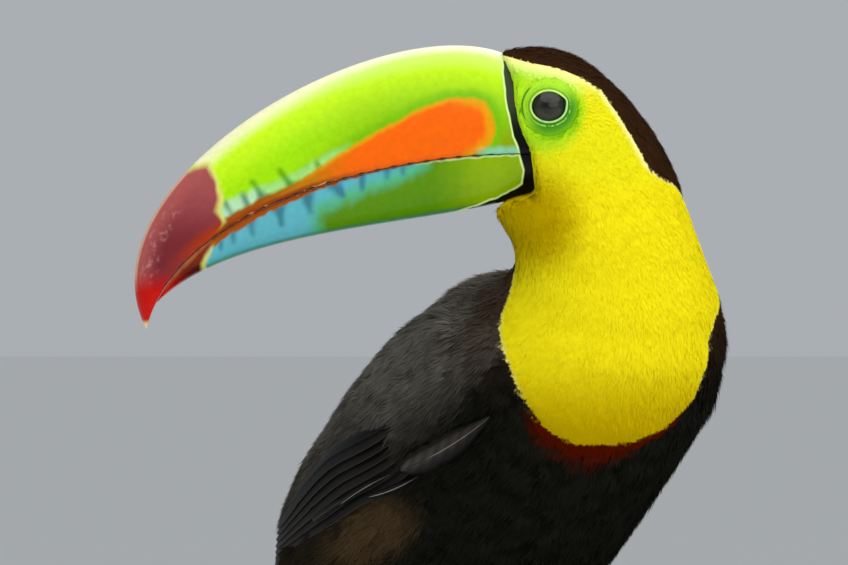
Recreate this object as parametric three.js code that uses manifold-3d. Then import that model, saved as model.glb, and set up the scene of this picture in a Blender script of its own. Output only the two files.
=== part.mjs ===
// A keel-billed toucan at life size, perched on a cut length of branch that a plain display stand holds.
// Millimetres, +Z up. The origin is the middle of the stand's underside. The bird looks along -X while its
// body faces half towards -Y, so the neck is turned; every piece is a closed solid with a thin gap between.
import * as THREE from "three";
import { mergeVertices } from "three/addons/utils/BufferGeometryUtils.js";
import Module from "manifold-3d";

const wasm = await Module();
wasm.setup();

// Driving sizes
const GAP = 0.3; // left between pieces that touch
const HEAD_Y = -45; // the plane that halves the head and the bill
const GAPE = [3.8, 337.4]; // X and Z of the corner of the mouth
const BILL_HALF_WIDTH = 15.8; // at the face
const EYE_AT = [9.2, 352.9]; // X and Z of both eyes
const EYE_RADIUS = 7;
const EYE_DEPTH = 5.2; // from the cheek's surface in to the eyeball's centre
const HEADING = 32; // degrees that the breast is turned from -Y towards +X
const SPINE_RISE = 42; // degrees of the trunk's slope
const TRUNK_AT = [5, -7, 259]; // middle of the trunk where the wings are widest
const WING_LENGTH = 190; // wrist to tip
const WRIST_AHEAD = 24; // of the trunk's widest ring
const TAIL_LENGTH = 155;
const TAIL_ROOT = 112; // behind the trunk's widest ring, along the spine
const TAIL_RISE = 8; // of its root above the spine's line
const PERCH_RADIUS = 15;
const PERCH_LENGTH = 164;
const PERCH_AT = [-3, 0, 123];
const FOOT_OFFSET = 18; // each foot, from the perch's middle
const TARSUS_LENGTH = 45;
const BASE_RADIUS = 88;
const BASE_HEIGHT = 14;
const ROD_RADIUS = 4;
const ROD_OFFSET = 52;

// Vectors and angles
const vec = (x, y, z) => new THREE.Vector3(x, y, z);
const rad = THREE.MathUtils.degToRad;
const lerp = THREE.MathUtils.lerp;
const steps = (count) => Array.from({ length: count + 1 }, (_, i) => i / count);
const along = (start, ...terms) =>
  terms.reduce((p, [axis, amount]) => p.addScaledVector(axis, amount), start.clone());

// The bird's own directions: ahead on the level, along its spine to the head, to its right, and out of its back
const AHEAD = vec(Math.sin(rad(HEADING)), -Math.cos(rad(HEADING)), 0);
const UP = vec(0, 0, 1);
const SPINE = along(vec(0, 0, 0), [AHEAD, Math.cos(rad(SPINE_RISE))], [UP, Math.sin(rad(SPINE_RISE))]);
const RIGHT = AHEAD.clone().cross(UP);
const BACK = RIGHT.clone().cross(SPINE);

// A smooth value between evenly spaced ones
function smooth(values, t) {
  const x = THREE.MathUtils.clamp(t, 0, 1) * (values.length - 1);
  const i = Math.min(Math.floor(x), values.length - 2);
  const f = x - i;
  const at = (k) => values[THREE.MathUtils.clamp(k, 0, values.length - 1)];
  const [a, b, c, d] = [at(i - 1), at(i), at(i + 1), at(i + 2)];
  return b + 0.5 * f * (c - a + f * (2 * a - 5 * b + 4 * c - d + f * (3 * (b - c) + d - a)));
}

// A closed solid from points and triangles, turned to face out
function solid(points, faces) {
  const build = (triangles) =>
    new wasm.Manifold(
      new wasm.Mesh({
        numProp: 3,
        vertProperties: new Float32Array(points.flatMap((p) => [p.x, p.y, p.z])),
        triVerts: new Uint32Array(triangles.flat()),
      }),
    );
  const made = build(faces);
  return made.volume() > 0 ? made : build(faces.map(([a, b, c]) => [a, c, b]));
}

// A solid through closed rings of equally many points, capped at both ends
function loft(rings) {
  const count = rings[0].length;
  const points = rings.flat();
  const faces = [];
  for (let r = 0; r + 1 < rings.length; r++)
    for (let i = 0; i < count; i++) {
      const j = (i + 1) % count;
      const [a, b] = [r * count, (r + 1) * count];
      faces.push([a + i, a + j, b + j], [a + i, b + j, b + i]);
    }
  for (const [ring, first, turned] of [
    [rings[0], 0, true],
    [rings.at(-1), (rings.length - 1) * count, false],
  ]) {
    const middle = points.length;
    points.push(ring.reduce((sum, p) => sum.add(p), vec(0, 0, 0)).divideScalar(count));
    for (let i = 0; i < count; i++) {
      const [a, b] = [first + i, first + ((i + 1) % count)];
      faces.push(turned ? [middle, b, a] : [middle, a, b]);
    }
  }
  return solid(points, faces);
}

// A round or oval rod whose middle line, half sizes and first side come from one function of 0 to 1
function rod(sides, parts, section) {
  return loft(
    steps(parts).map((t) => {
      const { at, across, over, wide, deep } = section(t);
      return steps(sides)
        .slice(0, sides)
        .map((k) => {
          const a = 2 * Math.PI * k;
          return along(at, [across, wide * Math.cos(a)], [over, deep * Math.sin(a)]);
        });
    }),
  );
}

function fromGeometry(geometry) {
  geometry.deleteAttribute("normal");
  geometry.deleteAttribute("uv");
  const merged = mergeVertices(geometry, 1e-4);
  const { array } = merged.attributes.position;
  const points = steps(array.length / 3 - 1).map((_, i) => vec(...array.slice(3 * i, 3 * i + 3)));
  const index = [...merged.index.array];
  return solid(
    points,
    steps(index.length / 3 - 1).map((_, i) => index.slice(3 * i, 3 * i + 3)),
  );
}

const group = new THREE.Group();

// Puts a finished solid in the group as one named mesh
function add(name, made, material) {
  const { numProp, vertProperties, triVerts } = made.getMesh();
  const position = new Float32Array((vertProperties.length / numProp) * 3);
  for (let i = 0; i * 3 < position.length; i++)
    position.set(vertProperties.subarray(i * numProp, i * numProp + 3), i * 3);
  const geometry = new THREE.BufferGeometry();
  geometry.setAttribute("position", new THREE.BufferAttribute(position, 3));
  geometry.setIndex(new THREE.BufferAttribute(triVerts, 1));
  geometry.computeVertexNormals();
  const mesh = new THREE.Mesh(geometry, material);
  mesh.name = name;
  group.add(mesh);
}

const paint = (color, roughness, metalness = 0) =>
  new THREE.MeshStandardMaterial({ color, roughness, metalness });
const MATERIAL = {
  black: paint(0x16110f, 0.8),
  yellow: paint(0xf2dc17, 0.8),
  horn: paint(0x9fd51e, 0.3),
  eye: paint(0x120d0a, 0.1),
  white: paint(0xf2efe6, 0.85),
  red: paint(0xc22417, 0.85),
  leg: paint(0x6f8f9a, 0.6),
  claw: paint(0x2b2726, 0.4),
  bark: paint(0x6b5843, 0.9),
  stand: paint(0x2d2723, 0.5),
  steel: paint(0xb9bcc0, 0.35, 1),
};

// Trunk, neck and head: one form of oval rings, from the bill's root over the head and down to the tail.
// pitch and lean tip a ring out of the level, deep and wide are its half sizes, and turn is where wide points.
const RINGS = [
  { at: [-4.6, HEAD_Y, 347], pitch: 95, lean: 0, deep: 24.3, wide: 17.6, turn: 90 },
  { at: [0.5, HEAD_Y, 347], pitch: 79.6, lean: 0, deep: 25.7, wide: 18.7, turn: 90 },
  { at: [4.6, HEAD_Y, 345.4], pitch: 63.9, lean: 0, deep: 27.3, wide: 20, turn: 90 },
  { at: [8.6, HEAD_Y, 341.7], pitch: 50.5, lean: 0, deep: 28.2, wide: 21.3, turn: 90 },
  { at: [13.3, -45, 336.2], pitch: 38.5, lean: 0, deep: 28.8, wide: 22.4, turn: 90 },
  { at: [18.4, -44.6, 328.9], pitch: 25.9, lean: 0, deep: 29.3, wide: 24, turn: 90 },
  { at: [23, -44, 319.9], pitch: 14.3, lean: 1, deep: 29.7, wide: 26.2, turn: 90 },
  { at: [26.6, -42, 311.3], pitch: 6, lean: 4, deep: 30.3, wide: 28.5, turn: 88 },
  { at: [29.3, -38, 302], pitch: 0, lean: 9, deep: 32, wide: 31, turn: 80 },
  { at: [29.4, -31.5, 290], pitch: -8, lean: 17, deep: 37.6, wide: 37.6, turn: 65 },
  { at: [20.6, -20.5, 274.6], pitch: -20, lean: 29, deep: 46, wide: 45.5, turn: 50 },
  { at: [7.6, -7, 257.5], pitch: -30.5, lean: 39, deep: 48.5, wide: 48.5, turn: 43 },
  { at: [-3.2, 8.1, 242.2], pitch: -30.5, lean: 39, deep: 49, wide: 49.5, turn: 43 },
  { at: [-14, 23.3, 227], pitch: -30.5, lean: 39, deep: 48, wide: 49.5, turn: 43 },
  { at: [-24.5, 40.1, 213.2], pitch: -30.5, lean: 39, deep: 41, wide: 45, turn: 43 },
  { at: [-33.8, 55.1, 201.5], pitch: -30.5, lean: 39, deep: 34, wide: 39, turn: 43 },
  { at: [-42.7, 69.4, 188.9], pitch: -30.5, lean: 39, deep: 25, wide: 31, turn: 43 },
  { at: [-49.4, 80.1, 179.1], pitch: -30.5, lean: 39, deep: 15, wide: 20, turn: 43 },
  { at: [-53.7, 87.1, 171.7], pitch: -30.5, lean: 39, deep: 5, wide: 8, turn: 43 },
];
const BODY_SIDES = 24;
const BODY_PARTS = 27;

function bodyRing(t) {
  const at = (key) => smooth(RINGS.map((ring) => ring[key]), t);
  const place = [0, 1, 2].map((k) => smooth(RINGS.map((ring) => ring.at[k]), t));
  const [pitch, lean, turn] = ["pitch", "lean", "turn"].map((key) => rad(at(key)));
  const first = vec(Math.cos(pitch), 0, Math.sin(pitch));
  const normal = vec(-Math.sin(pitch), 0, Math.cos(pitch));
  const second = vec(0, Math.cos(lean), 0).addScaledVector(normal, Math.sin(lean));
  return { at: vec(...place), first, second, turn, wide: at("wide"), deep: at("deep") };
}

// The body, or the same form standing out by grow for cutting its neighbours
function body(grow = 0) {
  return loft(
    steps(BODY_PARTS).map((t) => {
      const { at, first, second, turn, wide, deep } = bodyRing(t);
      return steps(BODY_SIDES)
        .slice(0, BODY_SIDES)
        .map((k) => {
          const a = 2 * Math.PI * k;
          const reach = 1 / Math.hypot(Math.cos(a - turn) / wide, Math.sin(a - turn) / deep) + grow;
          return along(at, [first, reach * Math.cos(a)], [second, reach * Math.sin(a)]);
        });
    }),
  );
}

// Bill: four curves seen from the side, forward of the mouth's corner and above it
const curve = (...points) => new THREE.CubicBezierCurve(...points.map((p) => new THREE.Vector2(...p)));
const CULMEN = curve([9.7, 32.6], [49.9, 46.9], [147.5, -8.7], [123.3, -56.2]);
const TOMIUM = curve([0, 0], [37.1, 1.1], [113.1, -13.2], [123.3, -56.2]);
const GONYS = curve([-0.6, -12.4], [31, -23.1], [92.7, -22.3], [118.7, -46.2]);
const BILL_PARTS = 14;
const BILL_ACROSS = 8;
const LOWER_REACH = 0.93; // share of the cutting edge that the lower half runs along

const billPoint = (forward, side, above) => vec(GAPE[0] - forward, HEAD_Y + side, GAPE[1] + above);
const billHalfWidth = (t) => BILL_HALF_WIDTH * (1 - 0.4 * t) * Math.sqrt(Math.max(1 - t ** 7, 0.002));

// One half of the bill, from its cutting edge to its ridge; grow makes a cutter for the face
function mandible(edge, ridge, narrow, power, grow = 0) {
  return loft(
    steps(BILL_PARTS).map((t) => {
      const [low, top] = [edge(t), ridge(t)];
      const rise = top.clone().sub(low);
      const unit = rise.clone().normalize();
      low.addScaledVector(unit, GAP / 2 - grow);
      rise.setLength(Math.max(rise.length() - GAP / 2 + 2 * grow, 0.4));
      const half = billHalfWidth(t) - narrow + grow;
      return steps(BILL_ACROSS).map((k) => {
        const a = Math.PI * k;
        const height = Math.sin(a) ** 0.9;
        const side = Math.sign(Math.cos(a)) * Math.abs(Math.cos(a)) ** power;
        return billPoint(low.x + rise.x * height, half * side, low.y + rise.y * height);
      });
    }),
  );
}

const upperBill = (grow) =>
  mandible((t) => TOMIUM.getPoint(t), (t) => CULMEN.getPoint(t * (0.75 + 0.25 * t)), 0, 1.15, grow);
const lowerBill = (grow) =>
  mandible(
    (t) => TOMIUM.getPoint(LOWER_REACH * t),
    (t) => GONYS.getPoint(t * (1.15 - 0.15 * t)),
    0.7,
    0.8,
    grow,
  );

// Wings: shells round the trunk, placed by how far back they are and by the angle from the spine's ridge
const backBy = (distance) => along(vec(...TRUNK_AT), [SPINE, -distance]);
const WING = {
  wide: [42.5, 48.5, 52, 54, 53, 50, 42.5, 33, 22],
  deep: [42, 48, 51.5, 53.5, 53, 50.5, 43, 33, 22],
  thick: [8, 10, 10, 9, 8, 6.5, 5, 3.6, 2.4],
  top: [50, 38, 26, 17, 11, 7, 4, 3, 3],
  bottom: [100, 110, 112, 106, 95, 80, 62, 43, 20],
};
const WING_PARTS = 16;
const WING_ACROSS = 8;
const WRIST_ROUND = 0.12; // share of the wing's length that rounds off at the wrist
const FLIGHT_FROM = 66; // where the coverts end and the long feathers show

function wing(side, grow = 0) {
  const shell = (t, k, inner) => {
    const of = (key) => smooth(WING[key], t);
    const round = t < WRIST_ROUND ? Math.sqrt(1 - (1 - t / WRIST_ROUND) ** 2) : 1;
    const spread = lerp(0.2, 1, round);
    const middle = 0.5 * (of("top") + of("bottom"));
    const angle = rad(middle + (k - 0.5) * spread * (of("bottom") - of("top") + 2 * grow));
    const edge = Math.sqrt(Math.max(1 - (2 * k - 1) ** 4, 0)) * lerp(0.3, 1, round);
    const form = 1 / Math.hypot(Math.sin(angle) / of("wide"), Math.cos(angle) / of("deep"));
    const outer = form - (1 - edge) * 2.5;
    const reach = inner ? outer - Math.max(of("thick") * edge, 1.4) - grow : outer + grow;
    const scallop = t === 1 ? 3 * Math.cos(3 * Math.PI * k) - grow : 0;
    return along(
      backBy(-WRIST_AHEAD + WING_LENGTH * t - scallop - (t === 0 ? grow : 0)),
      [RIGHT, side * reach * Math.sin(angle)],
      [BACK, reach * Math.cos(angle)],
    );
  };
  return loft(
    steps(WING_PARTS).map((x) => {
      const t = x ** 1.4;
      const across = steps(WING_ACROSS);
      return [...across.map((k) => shell(t, k, false)), ...across.reverse().map((k) => shell(t, k, true))];
    }),
  );
}

// One long feather: a flat blade with a rounded end, along "down" from its root
function blade(root, down, across, over, length, half, thick) {
  const tip = [0, 30, 55, 82].map((angle) => ({
    run: length - half + half * Math.sin(rad(angle)),
    broad: half * Math.cos(rad(angle)),
  }));
  return loft(
    [{ run: 0, broad: 0.55 * half }, ...tip].map(({ run, broad }) =>
      [
        [-1, -0.5],
        [1, -0.5],
        [1, 0.5],
        [-1, 0.5],
      ].map(([x, y]) => along(root, [down, run], [across, x * broad], [over, y * thick])),
    ),
  );
}

const FEATHER_PAIRS = 5;
function tail() {
  let made = null;
  for (let pair = 0; pair < FEATHER_PAIRS; pair++)
    for (const side of [-1, 1]) {
      const fan = rad(side * (0.5 + 1.1 * pair));
      const down = along(vec(0, 0, 0), [SPINE, -Math.cos(fan)], [RIGHT, Math.sin(fan)]);
      const across = along(vec(0, 0, 0), [RIGHT, Math.cos(fan)], [SPINE, Math.sin(fan)]);
      const root = along(backBy(TAIL_ROOT), [RIGHT, side * (1.5 + 1.3 * pair)], [BACK, TAIL_RISE - 0.8 * pair - 0.2 * side]);
      const one = blade(root, down, across, BACK, TAIL_LENGTH - 2.2 * pair ** 1.5, 10.5, 1.3);
      made = made ? made.add(one) : one;
    }
  return made;
}

// The fluffed feathers over and under the tail's root
function tailCoverts(over, length, rise, half, thick) {
  return rod(12, 6, (t) => {
    const shape = Math.sqrt(Math.max(1 - t ** 3, 0.01)) * (0.8 + 0.2 * Math.sin(Math.PI * t));
    return {
      at: along(backBy(TAIL_ROOT - 20 + length * t), [BACK, TAIL_RISE + over * lerp(rise, 4, t)]),
      across: RIGHT,
      over: BACK,
      wide: half * shape,
      deep: thick * shape,
    };
  });
}

// Legs: a feathered thigh, a bare shank, and four toes each, two ahead of the perch and two behind
const PERCH_TOP = vec(...PERCH_AT).addScaledVector(UP, PERCH_RADIUS);
const SHANK_RADIUS = 3;
const SHANK_BACK = 27; // how far the heel is behind the foot
const TOE_RADIUS = 2.7;
const footAt = (side) => along(PERCH_TOP, [RIGHT, side * FOOT_OFFSET], [UP, 2 * TOE_RADIUS + 1]);
const heelAt = (side) =>
  along(footAt(side), [AHEAD, -SHANK_BACK], [UP, Math.sqrt(TARSUS_LENGTH ** 2 - SHANK_BACK ** 2)]);

function limb(from, to, sides, parts, radius) {
  const down = to.clone().sub(from).normalize();
  const across = down.clone().cross(RIGHT).normalize();
  return rod(sides, parts, (t) => ({
    at: from.clone().lerp(to, t),
    across: RIGHT,
    over: across,
    wide: radius(t),
    deep: radius(t),
  }));
}

const thigh = (side) =>
  limb(
    along(heelAt(side), [AHEAD, 26], [UP, 30], [RIGHT, -side * 2]),
    along(heelAt(side), [AHEAD, -2], [UP, -3]),
    14,
    8,
    (t) => lerp(20, 6.4, t ** 1.1),
  );
const shank = (side) =>
  limb(along(heelAt(side), [AHEAD, 1]), along(footAt(side), [UP, -1]), 10, 6, (t) => {
    const knob = Math.exp(-((t * 7) ** 2)) + Math.exp(-(((1 - t) * 7) ** 2));
    return SHANK_RADIUS + 1.2 * knob;
  });

// A stretch of toe or claw that bends round the perch: from and to are angles from its top
function gripping(foot, ahead, offset, splay, from, to, radii, sides, parts) {
  return rod(sides, parts, (t) => {
    const angle = rad(lerp(from, to, t));
    const radius = smooth(radii, t);
    const out = along(vec(0, 0, 0), [AHEAD, ahead * Math.sin(angle)], [UP, Math.cos(angle)]);
    const run = PERCH_RADIUS * angle * Math.tan(rad(splay));
    const at = along(
      vec(...PERCH_AT),
      [RIGHT, foot * FOOT_OFFSET + offset + run],
      [out, PERCH_RADIUS + GAP + Math.max(...radii) * 0.15 + radius],
    );
    return { at, across: RIGHT, over: out, wide: radius, deep: radius };
  });
}

// ahead is 1 for the two toes in front of the perch and -1 for the two behind; place is -1 inside, 1 outside
const TOES = [
  { name: "toe_1", ahead: -1, place: -1, reach: 72 },
  { name: "toe_2", ahead: 1, place: -1, reach: 88 },
  { name: "toe_3", ahead: 1, place: 1, reach: 106 },
  { name: "toe_4", ahead: -1, place: 1, reach: 98 },
];
const TOE_START = 17;
const CLAW_SWEEP = 40;

const SIDES = [
  { word: "right", side: 1 },
  { word: "left", side: -1 },
];

// The whole body, and the cutter that keeps its neighbours clear of it
const whole = body();
const cutter = body(GAP);

// The rings where the head, the neck and the trunk are parted, each as a plane with a thin cut either side
function cutPlane(t) {
  const { at, first, second } = bodyRing(t);
  const normal = first.clone().cross(second).normalize();
  return { normal: normal.toArray(), offset: normal.dot(at) };
}
const NAPE = cutPlane(6.2 / (RINGS.length - 1));
const COLLAR = cutPlane(9 / (RINGS.length - 1));
const flip = (v) => v.map((x) => -x);
const above = (made, { normal, offset }) => made.trimByPlane(normal, offset + GAP / 2);
const below = (made, { normal, offset }) => made.trimByPlane(flip(normal), -offset + GAP / 2);

// An eyeball; the head's socket is the same ball grown by the gap
const CHEEK = 20.3; // half width of the head at the eyes
const eyeball = (side, grow = 0) =>
  fromGeometry(
    new THREE.SphereGeometry(EYE_RADIUS + grow, 14, 10)
      .rotateX(Math.PI / 2)
      .translate(EYE_AT[0], HEAD_Y + side * (CHEEK - EYE_DEPTH), EYE_AT[1]),
  );

let head = above(whole, NAPE).subtract(upperBill(GAP)).subtract(lowerBill(GAP));
for (const { side } of SIDES) head = head.subtract(eyeball(side, GAP));
const largest = (made) =>
  made.decompose().reduce((best, piece) => (piece.volume() > best.volume() ? piece : best));

add("head", largest(head), MATERIAL.yellow);
add("neck", above(below(whole, NAPE), COLLAR), MATERIAL.yellow);
add("bill_upper", upperBill(), MATERIAL.horn);
add("bill_lower", lowerBill(), MATERIAL.horn);

const tailWhole = tail();
let trunk = below(whole, COLLAR);
for (const { side } of SIDES) trunk = trunk.subtract(wing(side, GAP));
add("trunk", largest(trunk), MATERIAL.black);
add("tail", largest(tailWhole.subtract(cutter)), MATERIAL.black);

for (const { word, side } of SIDES) {
  add("eye_" + word, eyeball(side), MATERIAL.eye);
  const folded = wing(side);
  const split = { normal: SPINE.toArray(), offset: SPINE.dot(backBy(FLIGHT_FROM)) };
  add("wing_" + word, largest(above(folded, split)), MATERIAL.black);
  add("flight_" + word, largest(below(folded, split)), MATERIAL.black);
  const shin = shank(side);
  add("shank_" + word, shin, MATERIAL.leg);
  const bare = limb(
    along(heelAt(side), [AHEAD, 1]), along(footAt(side), [UP, -1]), 10, 6, () => SHANK_RADIUS + 1.2 + GAP);
  add("thigh_" + word, largest(thigh(side).subtract(cutter).subtract(bare)), MATERIAL.black);
  for (const toe of TOES) {
    const offset = toe.place * side * (TOE_RADIUS + 0.5);
    const splay = toe.place * side * 11;
    const grip = (...rest) => gripping(side, toe.ahead, offset, splay, ...rest);
    add(word + "_" + toe.name, grip(TOE_START, toe.reach, [2.6, 2.7, 2.4, 2.5, 2.1], 8, 5), MATERIAL.leg);
    add(
      word + "_claw_" + toe.name.at(-1),
      grip(toe.reach + 2, toe.reach + CLAW_SWEEP, [1.7, 1.4, 0.9, 0.35], 6, 3),
      MATERIAL.claw,
    );
  }
}

const over = tailCoverts(1, 62, 7, 19, 7).subtract(cutter).subtract(tailWhole);
add("coverts_over_tail", largest(over), MATERIAL.white);
add("coverts_under_tail", largest(tailCoverts(-1, 95, 14, 19, 13).subtract(cutter).subtract(tailWhole)), MATERIAL.red);

// Perch: a cut branch across the bird, a little thicker towards one end
const branch = rod(16, 6, (t) => {
  const swell = 1 + 0.05 * Math.sin(7 * t) * Math.abs(2 * t - 1);
  const at = along(vec(...PERCH_AT), [RIGHT, PERCH_LENGTH * (t - 0.5)]);
  return { at, across: AHEAD, over: UP, wide: PERCH_RADIUS * swell, deep: PERCH_RADIUS * swell };
});
add("perch", branch, MATERIAL.bark);

// Display stand
const base = new THREE.LatheGeometry(
  [
    [0, 0],
    [BASE_RADIUS, 0],
    [BASE_RADIUS, BASE_HEIGHT - 4],
    [BASE_RADIUS - 4, BASE_HEIGHT],
    [0, BASE_HEIGHT],
  ].map((p) => new THREE.Vector2(...p)),
  36,
).rotateX(Math.PI / 2);
add("stand_base", fromGeometry(base), MATERIAL.stand);
[1, -1].forEach((end, i) => {
  const foot = vec(PERCH_AT[0], PERCH_AT[1], BASE_HEIGHT + GAP).addScaledVector(RIGHT, end * ROD_OFFSET);
  const top = foot.clone().setZ(PERCH_AT[2] - PERCH_RADIUS + 1);
  const post = rod(16, 1, (t) => ({
    at: foot.clone().lerp(top, t),
    across: AHEAD,
    over: RIGHT,
    wide: ROD_RADIUS,
    deep: ROD_RADIUS,
  }));
  const clear = rod(20, 1, (t) => ({
    at: along(vec(...PERCH_AT), [RIGHT, PERCH_LENGTH * (t - 0.5)]),
    across: AHEAD,
    over: UP,
    wide: PERCH_RADIUS + GAP + 0.5,
    deep: PERCH_RADIUS + GAP + 0.5,
  }));
  add("stand_rod_" + (i + 1), post.subtract(clear), MATERIAL.steel);
});

export default group;
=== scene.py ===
# %% [markdown]
# # A keel-billed toucan on a cut branch
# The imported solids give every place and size. This lesson dresses them: one skin under the whole
# body, a coat of many small feathers over it, long feathers in the wings and tail, a bill with its
# painted-looking colours, wet eyes, scaled feet, bark, and the stand. Lengths are in millimetres
# until a mesh is made.

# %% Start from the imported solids
import bpy
import numpy as np
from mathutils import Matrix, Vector
from mathutils.bvhtree import BVHTree
from mathutils.kdtree import KDTree


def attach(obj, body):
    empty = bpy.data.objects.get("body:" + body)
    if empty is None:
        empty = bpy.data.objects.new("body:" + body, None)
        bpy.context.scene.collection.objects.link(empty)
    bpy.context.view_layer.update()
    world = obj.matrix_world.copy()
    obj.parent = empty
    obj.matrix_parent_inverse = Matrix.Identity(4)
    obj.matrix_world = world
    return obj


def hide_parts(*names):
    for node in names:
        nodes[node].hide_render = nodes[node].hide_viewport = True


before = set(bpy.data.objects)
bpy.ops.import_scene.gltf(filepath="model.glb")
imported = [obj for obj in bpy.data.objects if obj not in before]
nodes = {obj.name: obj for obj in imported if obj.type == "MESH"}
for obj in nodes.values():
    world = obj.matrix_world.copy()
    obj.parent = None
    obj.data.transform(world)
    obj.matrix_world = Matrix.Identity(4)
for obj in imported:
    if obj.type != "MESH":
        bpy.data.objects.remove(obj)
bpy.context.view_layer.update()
MM = 0.001

# %% [markdown]
# ## Small tools
# A bird is thousands of small things that repeat, so its meshes are made as whole arrays of points.
# These helpers keep the arrays short: unit vectors, smooth curves through a few values, and the
# squares of a grid. Blender can also place points one at a time, but for a million of them arrays
# are the way that stays fast.

# %% Vectors, curves and grids


def unit(v):
    return v / np.maximum(np.linalg.norm(v, axis=-1, keepdims=True), 1e-9)


def dot(a, b):
    return (a * b).sum(-1)


def ease(low, high, x):
    """0 up to low, 1 from high, and a soft step between them."""
    s = np.clip((x - low) / (high - low), 0, 1)
    return s * s * (3 - 2 * s)


def smooth(values, t):
    """A smooth value between evenly spaced ones, for every t from 0 to 1."""
    values = np.asarray(values, float)
    x = np.clip(t, 0, 1) * (len(values) - 1)
    i = np.minimum(x.astype(int), len(values) - 2)
    f = x - i
    if values.ndim > 1:
        f = f[..., None]
    a, b, c, d = [values[np.clip(i + k, 0, len(values) - 1)] for k in (-1, 0, 1, 2)]
    return b + 0.5 * f * (c - a + f * (2 * a - 5 * b + 4 * c - d + f * (3 * (b - c) + d - a)))


def bezier(points, t):
    """Points of a curve with four handles."""
    p = np.asarray(points, float)
    t = np.asarray(t, float)[..., None]
    s = 1 - t
    return s**3 * p[0] + 3 * s**2 * t * p[1] + 3 * s * t**2 * p[2] + t**3 * p[3]


def ripple(points, size, seed):
    """A soft random value from about -1 to 1 that changes over size millimetres."""
    rng = np.random.default_rng(seed)
    waves = unit(rng.normal(size=(7, 3))) * rng.uniform(0.6, 1.6, (7, 1)) * 2 * np.pi / size
    return np.sin(points @ waves.T + rng.uniform(0, 6.28, 7)).sum(-1) / 3


def mound(x, centre, width):
    """A smooth hill, 1 at its centre and close to 0 beyond twice its width."""
    return np.exp(-(((x - centre) / width) ** 2))


def grid_faces(rows, columns, closed=False, start=0):
    """The squares of a grid whose points are stored row by row."""
    r = np.arange(rows - 1)[:, None] * columns
    c = np.arange(columns if closed else columns - 1)[None]
    n = (c + 1) % columns
    return start + np.stack([r + c, r + n, r + n + columns, r + c + columns], -1).reshape(-1, 4)


def end_fans(sides, last, total):
    """Triangles that close a tube's two ends, round the last two of all its points."""
    i = np.arange(sides)
    j = (i + 1) % sides
    return np.vstack([np.stack([j, i, np.full(sides, total - 2)], 1),
                      np.stack([last + i, last + j, np.full(sides, total - 1)], 1)])


def line_distance(points, line, value=None):
    """Distance of flat points from a bent line, their side of it, and a value given along it."""
    line = np.asarray(line, float)
    a, b = line[:-1], line[1:]
    d = b - a
    p = points[:, None] - a
    t = np.clip(dot(p, d) / dot(d, d), 0, 1)
    gap = p - t[..., None] * d
    far = np.hypot(gap[..., 0], gap[..., 1])
    near = far.argmin(1)
    row = np.arange(len(points))
    side = np.sign(d[near, 0] * p[row, near, 1] - d[near, 1] * p[row, near, 0])
    along = near + t[row, near]
    found = None if value is None else np.interp(along, np.arange(len(line)), value)
    return far[row, near], side, found


def inside_distance(points, outline):
    """Millimetres inside a closed outline, and less than 0 outside it."""
    outline = np.asarray(outline, float)
    ring = np.vstack([outline, outline[:1]])
    far = line_distance(points, ring)[0]
    a, b = ring[:-1], ring[1:]
    x, y = points[:, :1], points[:, 1:]
    crosses = (a[:, 1] > y) != (b[:, 1] > y)
    rise = np.where(b[:, 1] == a[:, 1], 1e-9, b[:, 1] - a[:, 1])
    odd = (crosses & (x < (b[:, 0] - a[:, 0]) * (y - a[:, 1]) / rise + a[:, 0])).sum(1) % 2
    return np.where(odd == 1, far, -far)


# %% Meshes from arrays


def new_object(name, data):
    """An object that holds data, put in the scene."""
    made = bpy.data.objects.new(name, data)
    bpy.context.scene.collection.objects.link(made)
    return made


def make_piece(name, points, faces, materials, replaces=(), fields=None, uv=None,
               normals=None):
    """One piece: points in millimetres, faces as arrays of corners, fields as values per point."""
    mesh = bpy.data.meshes.new(name)
    mesh.vertices.add(len(points))
    mesh.vertices.foreach_set("co", np.asarray(points * MM, np.float32).ravel())
    corners = np.concatenate([f.ravel() for f in faces]).astype(np.int32)
    sides = np.concatenate([np.full(len(f), f.shape[1]) for f in faces])
    mesh.loops.add(len(corners))
    mesh.loops.foreach_set("vertex_index", corners)
    mesh.polygons.add(len(sides))
    starts = np.cumsum(sides) - sides
    mesh.polygons.foreach_set("loop_start", starts.astype(np.int32))
    mesh.update(calc_edges=True)
    mesh.shade_smooth()
    for key, value in (fields or {}).items():
        made = mesh.attributes.new(key, "FLOAT", "POINT")
        made.data.foreach_set("value", np.asarray(value, np.float32).ravel())
    if uv is not None:
        layer = mesh.uv_layers.new(name="OFBake")
        layer.data.foreach_set("uv", np.asarray(uv[corners], np.float32).ravel())
    if normals is not None:
        mesh.normals_split_custom_set_from_vertices(np.asarray(normals, np.float32))
    for material in materials:
        mesh.materials.append(material)
    piece = new_object(name, mesh)
    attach(piece, "root")
    if replaces:
        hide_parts(*replaces)
    print(name, "has", int((sides - 2).sum()), "triangles")
    return piece


# %% [markdown]
# ## Finishes
# Every finish is a small net of nodes. One helper adds a node with its settings and links, and one
# turns an sRGB colour to the linear light that the renderer counts in. A marking is a value stored
# on the mesh, in millimetres from the marking's edge, so the skin and each feather above it agree
# where a colour ends.

# %% Colours and nodes


def srgb(code):
    """A colour such as f5e414, as linear light."""
    parts = np.array([int(code[i:i + 2], 16) for i in (0, 2, 4)]) / 255
    linear = np.where(parts <= 0.04045, parts / 12.92, ((parts + 0.055) / 1.055) ** 2.4)
    return (*linear.tolist(), 1.0)


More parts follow.
